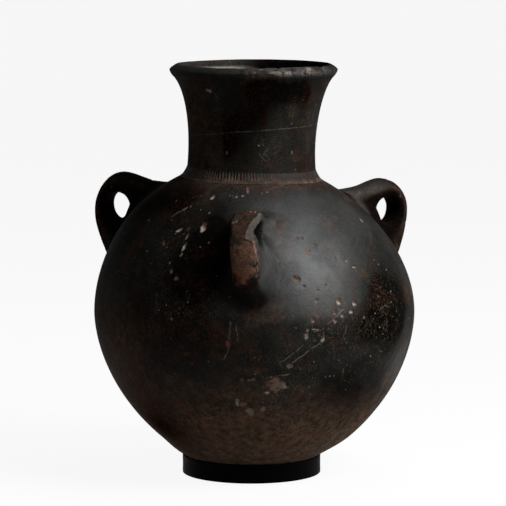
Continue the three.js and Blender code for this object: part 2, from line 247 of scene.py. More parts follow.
def along_jar(s, height, values):
    """Blend of values set at the seat, in the bowl, at the belly, the foot of the neck and the lip."""
    seat = bowl_height(s, s.ring_radius - s.ring_land)
    foot = shoulder_height(s, s.neck_root)
    crest = foot + s.neck_height + s.slip_gap + s.lip_crest_rise
    heights = [seat, seat + s.bowl_turn, belly_height(s), foot, crest]
    value = values[0]
    for i in range(1, len(values)):
        value = value + (values[i] - values[i - 1]) * smoothstep(height, heights[i - 1], heights[i])
    return value


def axis_at(s, height):
    return along_jar(s, height, [s.axis_at_seat, s.axis_at_bowl, 0, s.axis_at_neck, s.axis_at_lip])


def tilt_at(s, height):
    return along_jar(s, height, [0, 0, 0, s.shoulder_tilt, 0])


# The frame's origin is under the middle of the box, which the front lug draws forward of the axis
FRONT_SHIFT = 0.006


def into_frame(s, points):
    """Moves points from the jar's own axis and base to the row frame."""
    return points + np.array([0, FRONT_SHIFT, jar_lift(s)])


def hand_built(s, points):
    """The wandering axis and the tilt of the shoulder that every turned piece of the jar shares."""
    x, y, z = points[..., 0], points[..., 1], points[..., 2]
    return np.stack([x + axis_at(s, z), y, z - x * tilt_at(s, z)], -1)


# ---------------------------------------------------------------- noise and marks on the clay

# Soft noise: size of the lumps in metres and a seed of its own
BROAD, BLOTCH, FINE = (0.075, 11), (0.022, 23), (0.007, 37)
STROKES, STREAKS = (0.0055, 43), (0.008, 47)
RIM_COARSE, RIM_FINE = (0.0036, 71), (0.0016, 72)
LIP_LOSS, LIP_WAVE, LIP_NICK, LIP_FACET = (0.011, 53), (0.03, 57), (0.006, 59), (0.008, 63)
BAND_WOBBLE, BAND_BITE, BAND_CRUMBS = 7, 9, (0.004, 83)
STRAP_LUMPS, STRAP_FINE, STRAP_EDGE = (0.016, 61), (0.005, 67), (0.005, 73)
# Pits: size in metres, share of the cells in a pitted area that have one, and seed
LARGE_PITS, SMALL_PITS = (0.0050, 0.40, 101), (0.0026, 0.75, 131)
# Relief in metres: waves and dents of the hand-built wall, pits, rough skin, and the sinking that keeps it all
# inside the solids
WAVE, DENT, LARGE_PIT, SMALL_PIT, ROUGHNESS, SUNK = 0.0007, 0.00022, 0.0006, 0.00035, 0.0009, 0.0004
# Depth in metres of what the lip lost, its nicks and its waves, and of the lumps and pits of the straps
LOSS_DEPTH, NICK_DEPTH, WAVE_DEPTH, STRAP_LUMP, STRAP_PIT = 0.0015, 0.0009, 0.0008, 0.0009, 0.0005
# Half height in metres of the skin that is smoothed level over the joint of bowl and shoulder
JOINT_SMOOTHING = 0.0016
# Heights in mm between which the marks of the body give way to those of the neck
NECK_STARTS = (256, 268)


def lattice(cell, seed):
    """Fixed pseudo-random numbers from 0 to 1 for whole-number cells."""
    n = cell[..., 0] * 374761393 + cell[..., 1] * 668265263 + cell[..., 2] * 1440662683 + seed * 1274126177
    n = (n ^ (n >> 13)) * 1274126177 & 0x7fffffff
    n = (n ^ (n >> 15)) * 739982445 & 0x7fffffff
    return ((n ^ (n >> 12)) & 0xffff) / 65535.0


def cloud(points, size, seed):
    """Soft noise from 0 to 1, with lumps of the given size in metres."""
    place = points / size
    base = np.floor(place).astype(np.int64)
    f = place - base
    f = f * f * (3 - 2 * f)
    total = 0
    for corner in np.ndindex(2, 2, 2):
        weight = np.prod([f[..., i] if c else 1 - f[..., i] for i, c in enumerate(corner)], axis=0)
        total = total + weight * lattice(base + np.array(corner), seed)
    return total


def clouds(points, size, seed):
    """Soft noise in three layers, each finer and fainter than the last."""
    layers = enumerate(((1, 4), (2.1, 2), (4.3, 1)))
    return sum(cloud(points, size / finer, seed + i) * weight for i, (finer, weight) in layers) / 7


def pits(points, kind, density):
    """Depth from 0 to 1 of scattered hollows, and a number of its own for each hollow."""
    size, share, seed = kind
    place = points / (size * 1.9)
    base = np.floor(place).astype(np.int64)
    deepest = np.zeros(points.shape[:-1])
    owner = np.zeros(points.shape[:-1])
    for corner in np.ndindex(3, 3, 3):
        cell = base + np.array(corner) - 1
        middle = cell + np.stack([lattice(cell, seed + i) for i in (1, 2, 3)], -1)
        reach = 0.12 + 0.24 * lattice(cell, seed + 4) ** 2
        near = 1 - np.linalg.norm((place - middle) * np.array([1, 1, 0.75]), axis=-1) / reach
        near = np.where(lattice(cell, seed + 5) < density * share, near, 0)
        owner = np.where(near > deepest, lattice(cell, seed + 6), owner)
        deepest = np.maximum(deepest, near)
    return smoothstep(deepest, 0, 0.55), owner


def turn_from(azimuth, middle):
    """Degrees from one azimuth to another, the short way round."""
    return (azimuth - middle + 180) % 360 - 180


def sector(azimuth, middle, wide):
    """Soft sector of the jar, from 0 to 1."""
    return np.exp(-(turn_from(azimuth, middle) / wide) ** 2)


def patch(here, azimuth, height, wide, tall):
    """Soft spot from 0 to 1: azimuth and width in degrees, height in mm."""
    turn = turn_from(here.azimuth, azimuth)
    return np.exp(-(turn / wide) ** 2 - ((here.height - height) / tall) ** 2)


# Soft spots on the skin: azimuth in degrees, height in mm, width in degrees, height of the spot in mm, strength
# Soot clouds and painted shade: the spots at -16, -21 and -25 degrees paint the front lug's shadow, the one at -52
# degrees paints shade low at the left
SOOT_AND_SHADE_SPOTS = (
    (20, 331, 26, 10, 1.3), (38, 325, 18, 12, 0.6), (5, 310, 16, 14, 0.6), (-24, 288, 8, 24, 0.5),
    (50, 285, 12, 28, 0.4), (0, 290, 14, 20, 0.4), (-12, 296, 12, 36, 0.5), (-48, 238, 20, 14, 0.7),
    (-68, 222, 16, 24, 0.6), (-40, 205, 14, 22, 0.4), (-16, 203, 7, 24, 1.8), (-21, 190, 8, 28, 0.9),
    (-25, 176, 9, 16, 0.6), (-1, 164, 6, 9, 1.2), (55, 156, 11, 26, 1.2), (42, 134, 10, 13, 0.8),
    (62, 140, 10, 25, 0.6), (-52, 45, 20, 24, 0.9), (-28, 150, 18, 20, 0.4), (-14, 134, 14, 14, 0.35),
    (34, 95, 14, 20, 0.35), (44, 76, 18, 26, 0.55), (56, 150, 10, 30, 0.6), (-36, 212, 20, 26, 0.4),
    (5, 118, 22, 16, 0.3),
)
BROWNED = (
    (-58, 300, 22, 45, 0.5), (-44, 268, 14, 12, 0.4), (62, 292, 12, 30, 0.2), (30, 252, 60, 4, 0.4),
    (34, 316, 7, 12, 0.3), (-58, 120, 16, 34, 0.4), (-8, 52, 26, 18, 0.6), (45, 105, 18, 34, -0.4),
    (-46, 66, 20, 30, -0.3),
)
REDDENED = (
    (-50, 85, 16, 40, 0.8), (-26, 50, 34, 16, 0.7), (-20, 78, 10, 16, 0.3), (-30, 140, 16, 24, 0.25),
)
POLISHED = (
    (20, 205, 24, 36, 0.8), (36, 198, 18, 34, 0.7), (22, 166, 19, 17, 0.75), (24, 150, 17, 14, 0.55),
    (30, 238, 44, 15, 0.6), (63, 222, 14, 18, 0.6), (-20, 241, 20, 10, 0.3), (68, 105, 12, 36, 0.65),
    (-30, 325, 20, 12, 0.4), (42, 174, 9, 14, 0.55),
)
SCUFFED = (
    (53, 152, 12, 32, 0.9), (27, 138, 16, 14, 0.8), (15, 112, 24, 18, 0.5), (-36, 212, 12, 28, 0.6),
    (-28, 152, 16, 24, 0.7), (2, 88, 20, 20, 0.6), (-14, 245, 22, 9, 0.9), (40, 100, 30, 30, 0.3),
    (-50, 150, 25, 40, 0.2), (15, 275, 14, 16, 0.5), (-36, 328, 8, 8, 0.6), (34, 316, 8, 12, 0.6),
)
PITTED = (
    (-30, 205, 15, 34, 0.50), (-27, 155, 13, 18, 0.75), (27, 140, 13, 15, 0.85), (48, 152, 9, 30, 0.95),
    (7, 92, 15, 18, 0.45), (-15, 246, 14, 9, 0.3),
)
ROUGH = ((48, 152, 10, 32, 1.2), (-27, 152, 14, 18, 0.8), (25, 135, 14, 15, 0.6))
# Spots that have no pits, without a strength
SOUND = ((5, 212, 6, 16), (18, 105, 3, 6), (25, 195, 17, 26))


def spots(here, listed):
    return sum(strength * patch(here, *spot) for *spot, strength in listed)


# Breaks in the skin: azimuth in degrees, height, half width and half height in mm, slant in degrees, depth in mm,
# how red the break is and how pale
BREAKS = (
    (-22.8, 217.5, 2.8, 5.2, -8, 1.2, 0.1, 0.95), (-23.9, 241, 1.5, 2.4, -30, 0.8, 0.2, 0.9),
    (-34.4, 214, 1.1, 2.8, -60, 0.5, 0, 0.85), (-37.5, 230, 0.8, 2.2, -52, 0.4, 0, 0.5),
    (-29.9, 216, 0.9, 2.2, -20, 0.5, 0.2, 0.5), (-29.2, 210, 0.9, 2.6, -12, 0.5, 0.1, 0.5),
    (-29.1, 202, 1.2, 4.6, -18, 0.6, 0, 0.95), (-29.4, 196, 0.9, 2.2, -30, 0.4, 0, 0.5),
    (-39.6, 203.5, 1.7, 2.6, 0, 0.7, 0.7, 0.6), (-32.1, 183, 1.6, 2.8, -12, 0.7, 0.25, 0.5),
    (-29.4, 177.5, 1.9, 2.4, -20, 0.7, 0.25, 0.5), (-50.4, 150.5, 2.4, 2.2, 0, 0.4, 0.9, 0.6),
    (-2.4, 247.5, 1.6, 2.6, 15, 0.5, 0.3, 0.5), (-9, 242, 1.1, 1.1, 0, 0.4, 0, 0.5),
    (-5.5, 243, 1.4, 1, 0, 0.4, 0, 0.5), (19.8, 212, 0.9, 0.8, 0, 0.6, 0.8, 0.6),
    (21.9, 212, 1.2, 0.9, -30, 0.6, 0.6, 0.6), (27.7, 206.5, 1.7, 0.8, -20, 0.6, 0.8, 0.6),
    (22.6, 200.5, 2.4, 3.2, -15, 0.15, 0.45, 0.5), (35.1, 194.5, 1.2, 1, -20, 0.7, 0.9, 0.6),
    (39.2, 191.5, 1.7, 1.9, 30, 0.8, 0.1, 0.8), (42, 186.3, 2.9, 1.3, -12, 1, 0.2, 0.95),
    (15.9, 179, 3, 1.9, -30, 0.9, 0.6, 0.6), (18.3, 172.5, 1.4, 1, -30, 0.8, 0.9, 0.6),
    (23.6, 168.7, 1.2, 1, -20, 0.6, 0.8, 0.6), (27, 172.4, 0.9, 0.9, 0, 0.5, 0.6, 0.6),
    (31, 158.7, 1.7, 2.2, 20, 0.8, 0.05, 0.9), (37.7, 156, 2.2, 2.6, -10, 0.9, 0.2, 0.95),
    (36.1, 149.4, 2.3, 2.6, 15, 0.9, 0.05, 0.95), (22.4, 160.3, 1.5, 1.4, 20, 0.5, 0.3, 0.5),
    (29, 149, 1.6, 2.4, 0, 0.7, 0.45, 0.75), (28.9, 143, 2, 2.5, 0, 0.9, 0.5, 0.8),
    (20.5, 144.5, 1.9, 2.4, 0, 0.9, 0.6, 0.75), (21.4, 136.7, 3, 1.2, -5, 0.9, 0, 0.8),
    (31.9, 146.5, 1.5, 2.4, 15, 0.6, 0.2, 0.8), (18.3, 133, 1.7, 1.3, 25, 0.8, 0.15, 0.55),
    (12.4, 109.5, 3, 2.4, 0, 0.5, 0.35, 0.5), (24.2, 130.8, 2.2, 1.3, 40, 0.5, 0.05, 0.7),
    (66.3, 221, 1.7, 2, 0, 0.4, 0.1, 0.5), (7.9, 93, 9, 6, 6, 0.35, 0.6, 0.6),
    (11.2, 92.5, 1.6, 2.4, 30, 0.5, 0, 0.5), (4.7, 85.8, 2.6, 1, 8, 0.5, 0, 0.95),
    (3.4, 70, 2.2, 2.6, 0, 0.4, 0.2, 0.5), (-6.9, 75.7, 1.8, 3.2, 0, 0.5, 0, 0.95),
    (-5, 74.5, 3.4, 2.6, 0, 0.4, 0.4, 0.5), (-2.4, 68, 5, 2.6, -30, 0.3, 0.05, 0.5),
    (-4.5, 97.6, 2.2, 2.4, 0, 0.5, 0.75, 0.6), (-2.2, 97.2, 1.6, 1.2, 0, 0.4, 0.2, 0.5),
    (-24.5, 118.5, 2.2, 1.6, 20, 0.4, 0.9, 0.6), (-47.6, 253.5, 5.5, 1.5, 0, 0.5, 0, 0.95),
    (-9.1, 129, 1.8, 4, 5, 0.4, 0.85, 0.6), (-40.8, 96.8, 0.8, 0.8, 0, 0.3, 0, 0.5),
    (-37.6, 330, 3.8, 1.5, -20, 0.4, 0, 0.75), (-22.6, 276.5, 1, 1, 0, 0.3, 0, 0.5),
    (38.6, 277.8, 1, 1.2, 0, 0.3, 0.1, 0.5),
)

# Thin scratches: azimuth and height in mm at both ends, width in mm, and how red the line is
SCRATCHES = (
    (12.5, 111, 24.1, 130.6, 0.75, 0.25), (4.2, 99.0, 12.2, 102.0, 0.6, 0.0), (-8.1, 143.5, -9.1, 126, 1.0, 0.8),
    (-9.1, 126, -10.8, 115, 0.8, 0.3), (-37.0, 231, -42.0, 222, 0.4, 0.1), (-6.1, 142, -5.9, 131, 0.35, 0.2),
    (-36.6, 164, -36.6, 147, 0.6, 0.9), (-46.5, 102, -44.6, 82, 1.3, 0.9), (26, 140, 33, 152, 0.5, 0.1),
    (17, 127, 9, 112, 0.5, 0.2), (33, 129, 33.6, 138, 0.5, 0.2), (34, 97, 34, 104, 0.6, 0.6),
)

NECK_SCRATCHES = (
    (-100, 286.5, -60, 289, 0.55, 0.0), (-60, 289, -20, 294, 0.55, 0.0), (-20, 294, 20, 297.5, 0.55, 0.0),
    (20, 297.5, 60, 299.4, 0.55, 0.0), (60, 299.4, 100, 300, 0.55, 0.0), (-36.5, 328.5, -33, 324.5, 0.6, 0.0),
    (6, 293, 10, 286, 0.6, 0.0), (9, 285, 14, 279, 0.7, 0.0), (14, 282, 10, 276, 0.7, 0.0),
    (11, 277, 15, 272, 0.6, 0.0), (8, 275, 12, 271, 0.6, 0.0),
)


def breaks(here):
    """Depth in metres, paleness and redness of the breaks that are listed one by one."""
    depth, pale, red = (np.zeros_like(here.height) for _ in range(3))
    ragged = (cloud(here.points, *RIM_COARSE) - 0.5) * 0.9 + (cloud(here.points, *RIM_FINE) - 0.5) * 0.5
    for azimuth, height, wide, tall, slant, deep, redness, paleness in BREAKS:
        across = np.radians(turn_from(here.azimuth, azimuth)) * here.radius * 1000
        up = here.height - height
        beside, above = rotated(across, up, -slant)
        inside = np.hypot(beside / wide, above / tall) + ragged
        hole = 1 - smoothstep(inside, 0.65, 1.2)
        depth = np.maximum(depth, hole * deep / 1000)
        # The upper side of a deep break is in the shade of its rim and red, the lower side is pale
        upper = smoothstep(up / tall + 0.3 * across / wide, -0.3, 0.5) * smoothstep(deep, 0.35, 0.7)
        pale = np.maximum(pale, hole * paleness * (1 - 0.6 * upper))
        red = np.where(hole > 0.05, np.clip(redness + 0.6 * upper, 0, 1), red)
    return depth, pale, red


def weathering(s, points):
    """What years and fire did to the skin at these points of the unwarped jar: relief in metres and the masks."""
    joint = belly_height(s) - s.scarf / 2
    past = points[..., 2] - joint
    level = joint + np.sign(past) * np.maximum(np.abs(past) - JOINT_SMOOTHING, 0)
    points = np.stack([points[..., 0], points[..., 1], level], -1)
    x, y, z = points[..., 0], points[..., 1], points[..., 2]
    here = SimpleNamespace(points=points, azimuth=np.degrees(np.arctan2(x, -y)), height=z * 1000,
                           radius=np.hypot(x, y))
    h = here.height
    arc = np.radians(here.azimuth) * here.radius
    broad, blotch, fine = (clouds(points, *layer) for layer in (BROAD, BLOTCH, FINE))
    # Strokes of the burnishing stone run aslant, and streaks run down the neck
    strokes = clouds(np.stack([(arc + z) / 6, arc - z, 0 * arc], -1), *STROKES)
    streaks = clouds(np.stack([arc, z / 9, 0 * arc], -1), *STREAKS)
    on_neck = smoothstep(h, *NECK_STARTS)
    density = 0.05 + 0.5 * smoothstep(broad, 0.56, 0.75) + spots(here, PITTED)
    for spot in SOUND:
        density = density * (1 - patch(here, *spot))
    density = density * smoothstep(h, 20, 60) * (1 - on_neck * 0.85)
    large, large_kind = pits(points, LARGE_PITS, density)
    small, small_kind = pits(points, SMALL_PITS, density)
    deep, pale, red = breaks(here)
    rough = np.clip(spots(here, ROUGH), 0, 1)
    relief = ((broad - 0.5) * WAVE + (blotch - 0.5) * DENT - SUNK
              - large * LARGE_PIT - small * SMALL_PIT - deep - rough * (fine - 0.3).clip(0) * ROUGHNESS)
    soot = (0.12 + (0.9 * (broad - 0.42) + 0.7 * (blotch - 0.5)) * smoothstep(h, 50, 120)
            + spots(here, SOOT_AND_SHADE_SPOTS) + 0.9 * on_neck * (streaks - 0.5))
    bare = (smoothstep(h + (blotch - 0.5) * 70, 112, 30) * 0.95 + 0.35 * smoothstep(blotch, 0.55, 0.75)
            + spots(here, BROWNED) + 0.7 * on_neck * (streaks - 0.55))
    broken = np.maximum(np.maximum(pale, 0.6 * large * (large_kind > 0.75)), 0.55 * small * (small_kind > 0.7))
    rust = np.maximum(red * (pale > 0.02), 0.7 * (small_kind > 0.8) * (small > 0.05)) + spots(here, REDDENED)
    sheen = smoothstep(spots(here, POLISHED) + (strokes - 0.5) * 0.3, 0.12, 1.0)
    burnish = (0.16 + 0.84 * sheen) * (1 - 0.9 * np.clip(soot, 0, 1)) * (1 - rough * 0.7) * (1 - broken)
    burnish = burnish * (1 - 0.5 * on_neck)
    scuff = np.clip(0.03 + spots(here, SCUFFED) * smoothstep(fine, 0.25, 0.6), 0, 1)
    return SimpleNamespace(relief=relief, azimuth=here.azimuth, radius=here.radius, height=z, soot=soot, bare=bare,
                           broken=broken, rust=rust, burnish=burnish, scuff=scuff)


# ---------------------------------------------------------------- meshes

def turned(profile, steps):
    """Points around the axis for a run of (radius, height) that goes up outside and down inside."""
    turn = np.linspace(0, 2 * np.pi, steps, endpoint=False)
    r, h = profile[:, 0][:, None], profile[:, 1][:, None]
    return np.stack([r * np.cos(turn), r * np.sin(turn), h + 0 * turn], -1)


def outwards(profile, points, outside):
    """Unit directions out of a turned surface, from the tangent of its outer run."""
    run = np.flatnonzero(outside)
    tangent = np.zeros_like(profile)
    tangent[run] = np.gradient(profile[run], axis=0)
    tangent = unit(tangent)
    radius = np.maximum(np.hypot(points[..., 0], points[..., 1]), 1e-9)
    level = tangent[:, 1][:, None] / radius
    return np.stack([points[..., 0] * level, points[..., 1] * level, -tangent[:, 0][:, None] + 0 * radius], -1)


def grid_faces(rows, columns, closed):
    """Quads of a grid whose columns go round; closed joins the last row to the first."""
    i = np.arange(rows if closed else rows - 1)[:, None]
    j = np.arange(columns)[None, :]
    up, on = (i + 1) % rows, (j + 1) % columns
    corners = [i * columns + j, i * columns + on, up * columns + on, up * columns + j]
    return np.stack([c + 0 * i + 0 * j for c in corners], -1).reshape(-1, 4)


# Edges sharper than this many degrees are drawn as edges
SHARP = 35


def new_mesh(name, points, faces, material):
    mesh = bpy.data.meshes.new(name)
    mesh.from_pydata(points.reshape(-1, 3), [], faces)
    mesh.validate()
    mesh.shade_smooth()
    mesh.materials.append(material)
    return mesh


def new_object(name, data):
    made = bpy.data.objects.new(name, data)
    bpy.context.scene.collection.objects.link(made)
    return made


def make_piece(name, points, faces, masks, material, node, body):
    """Object from mesh points in metres, with its masks, material, body and the CAD node that it stands for."""
    mesh = new_mesh(name, points, faces, material)
    mesh.set_sharp_from_angle(angle=math.radians(SHARP))
    for key, values in masks.items():
        layer = mesh.attributes.new(key, 'FLOAT', 'POINT')
        layer.data.foreach_set("value", np.ascontiguousarray(values, np.float32).ravel())
    piece = new_object(name, mesh)
    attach(piece, body)
    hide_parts(node)


def mouth_shade(azimuth):
    """Share of painted shade in the mouth: its right side is drawn black, as it lies in shade."""
    return smoothstep(np.sin(np.radians(azimuth)), -0.35, 0.15)


MASKS = ("soot", "bare", "broken", "rust", "burnish", "scuff")


def masks_of(skin, outside):
    """The masks on the mesh; outside is 1 on the outer skin and 0 on hidden and inner faces."""
    arc = np.radians(skin.azimuth) * skin.radius
    shade_share = mouth_shade(skin.azimuth)
    # Inner faces: painted shade, drawn black, on the right side of the mouth, and painted light, drawn as pale clay,
    # on its left side
    return {
        "soot": np.clip(skin.soot, 0, 1) * outside + shade_share * (1 - outside),
        "bare": np.clip(skin.bare, 0, 1) * outside,
        "broken": skin.broken * outside + 0.6 * (1 - shade_share) * (1 - outside),
        "rust": np.clip(skin.rust, 0, 1) * outside,
        "burnish": np.clip(skin.burnish, 0, 1) * outside + 0.9 * (1 - shade_share) * (1 - outside),
        "scuff": skin.scuff * outside,
        "around": arc,
        "upright": skin.height + 0 * arc,
    }


def turned_clay(s, name, profile, outside, steps, node, closed=True, extra=None):
    """A turned piece of the jar: relief along the skin's own direction, the hand-built warp, then the frame."""
    points = turned(profile, steps)
    skin = weathering(s, points)
    cover = outside[:, None] + 0 * skin.azimuth
    lift = skin.relief * cover
    if extra is not None:
        lift = lift + extra(skin, points)
    moved = points + outwards(profile, points, outside) * lift[..., None]
    moved = into_frame(s, hand_built(s, moved))
    faces = grid_faces(len(profile), steps, closed)
    if not closed:
        faces = close_poles(faces, len(profile), steps)
    masks = masks_of(skin, cover)
    make_piece(name, moved, faces, masks, smoked_clay(), node, "jar")


def close_poles(faces, rows, columns):
    """Quads of a grid whose first and last rows lie on the axis, with each of these rows drawn to one point."""
    last = (rows - 1) * columns
    joined = np.where(faces < columns, 0, np.where(faces >= last, last, faces))
    return [tuple(dict.fromkeys(face)) for face in joined.tolist()]


# ---------------------------------------------------------------- materials

class Nodes:
    """The nodes of one tree: add makes any kind, and the rest are short ways to the kinds that come up most."""

    def __init__(self, tree):
        self.tree = tree

    def add(self, kind, inputs=None, **settings):
        """One node with its settings, each input set to a value or linked to a socket; gives its outputs."""
        node = self.tree.nodes.new("ShaderNode" + kind)
        for key, value in settings.items():
            setattr(node, key, value)
        for key, value in (inputs or {}).items():
            if isinstance(value, bpy.types.NodeSocket):
                self.tree.links.new(value, node.inputs[key])
            else:
                node.inputs[key].default_value = value
        return node.outputs

    def math(self, operation, *values, clamp=False):
        return self.add("Math", dict(enumerate(values)), operation=operation, use_clamp=clamp)[0]

    def vector(self, operation, *values):
        return self.add("VectorMath", dict(enumerate(values)), operation=operation)

    def scaled(self, tint, share):
        return self.add("VectorMath", {0: tint, "Scale": share}, operation='SCALE')[0]

    def ramp(self, value, low, high, start=0.0, end=1.0):
        """The value, drawn from the range low to high to the range start to end."""
        return self.add("MapRange", {"Value": value, "From Min": low, "From Max": high,
                                     "To Min": start, "To Max": end})[0]

    def mix(self, share, below, above):
        """One colour laid over another; a colour is a socket or three numbers."""
        tints = [tint if isinstance(tint, bpy.types.NodeSocket) else (*tint, 1.0) for tint in (below, above)]
        return self.add("Mix", {0: share, 6: tints[0], 7: tints[1]}, data_type='RGBA')[2]

    def noise(self, place, size, detail, roughness=0.5, distortion=0.0):
        """Noise with lumps of a size in metres."""
        return self.add("TexNoise", {"Vector": place, "Scale": 1 / size, "Detail": detail,
                                     "Roughness": roughness, "Distortion": distortion})

    def strongest(self, values):
        total = values[0] if values else 0.0
        for value in values[1:]:
            total = self.math('MAXIMUM', total, value)
        return total

    def surface(self, tint, roughness, ior, level, height, strength, depth):
        """The finished surface: a coat of one colour with a fine bump."""
        bump = self.add("Bump", {"Height": height, "Strength": strength, "Distance": depth})[0]
        coat = self.add("BsdfPrincipled", {"Base Color": tint, "Roughness": roughness, "IOR": ior,
                                           "Specular IOR Level": level, "Normal": bump})[0]
        self.add("OutputMaterial", {"Surface": coat})


def new_material(name):
    material = bpy.data.materials.new(name)
    material.use_nodes = True
    material.node_tree.nodes.clear()
    return material, Nodes(material.node_tree)


def scratch_group():
    """Node group: how near a point of the unrolled skin lies to a line between two points, from 0 to 1."""
    name = "scratch_line"
    if name in bpy.data.node_groups:
        return bpy.data.node_groups[name]
    tree = bpy.data.node_groups.new(name, "ShaderNodeTree")
    for key in ("Place", "Start", "End"):
        tree.interface.new_socket(key, in_out='INPUT', socket_type='NodeSocketVector')
    tree.interface.new_socket("Width", in_out='INPUT', socket_type='NodeSocketFloat')
    tree.interface.new_socket("Line", in_out='OUTPUT', socket_type='NodeSocketFloat')
    n = Nodes(tree)
    given = tree.nodes.new("NodeGroupInput").outputs
    from_start = n.vector('SUBTRACT', given["Place"], given["Start"])[0]
    run = n.vector('SUBTRACT', given["End"], given["Start"])[0]
    along = n.vector('DOT_PRODUCT', from_start, run)["Value"]
    whole = n.vector('DOT_PRODUCT', run, run)["Value"]
    nearest = n.scaled(run, n.math('DIVIDE', along, whole, clamp=True))
    gap = n.vector('DISTANCE', from_start, nearest)["Value"]
    out = tree.nodes.new("NodeGroupOutput")
    tree.links.new(n.ramp(gap, given["Width"], 0.0), out.inputs[0])
    return tree


def unrolled(s, azimuth, height):
    """Place on the unrolled skin: the way around and the height, both in metres."""
    on_neck = height > sum(NECK_STARTS) / 2
    radius = s.neck_root if on_neck else float(body_radius(s, height / 1000))
    return math.radians(azimuth) * radius, height / 1000, 0


def scratches(n, place, lines):
    """The strongest of the listed scratches at each place, and the strongest of the red ones."""
    s = bpy.context.scene.jar_shape
    marks, red = [], []
    for azimuth, height, end_azimuth, end_height, width, redness in lines:
        ends = {"Start": unrolled(s, azimuth, height), "End": unrolled(s, end_azimuth, end_height)}
        mark = n.add("Group", {"Place": place, "Width": width / 1000, **ends}, node_tree=scratch_group())[0]
        marks.append(mark)
        if redness > 0:
            red.append(n.math('MULTIPLY', mark, redness))
    return n.strongest(marks), n.strongest(red)


# Fine scuffs: length and width in metres; the slope of each layer, and the turn to the side on which it lies flat
WISP_SIZE = (0.009, 0.0008, 0.0008)
WISP_TURNS = ((0.3, 0.9), (0.9, 0.8), (1.5, 0.9), (2.1, 0.8), (2.7, 0.9), (0.6, -0.4), (1.4, -0.5), (2.4, -0.3))


def wisps(n, place):
    """Short light scuffs that cross at several slopes."""
    layers = []
    for slope, side in WISP_TURNS:
        grain = n.add("Mapping", {"Vector": place, "Location": (slope, side, 0), "Rotation": (0, -slope, side),
                                  "Scale": WISP_SIZE}, vector_type='TEXTURE')[0]
        layers.append(n.ramp(n.noise(grain, 1.0, 1.0, distortion=0.6)[0], 0.68, 0.82, 0.0, 0.75))
    return n.strongest(layers)


def specks(n, place, density):
    """Round specks of 0.6 to 2 mm in cells of 3.5 mm, in as many cells as the density says, and how red each is."""
    cell = n.add("TexVoronoi", {"Vector": place, "Scale": 1 / 0.0035})
    number = n.add("SeparateColor", {0: cell["Color"]})
    wide = n.ramp(number[1], 0.0, 1.0, 0.10, 0.30)
    chosen = n.math('LESS_THAN', number[0], density)
    return n.math('MULTIPLY', n.ramp(cell["Distance"], wide, 0.05), chosen), number[2]


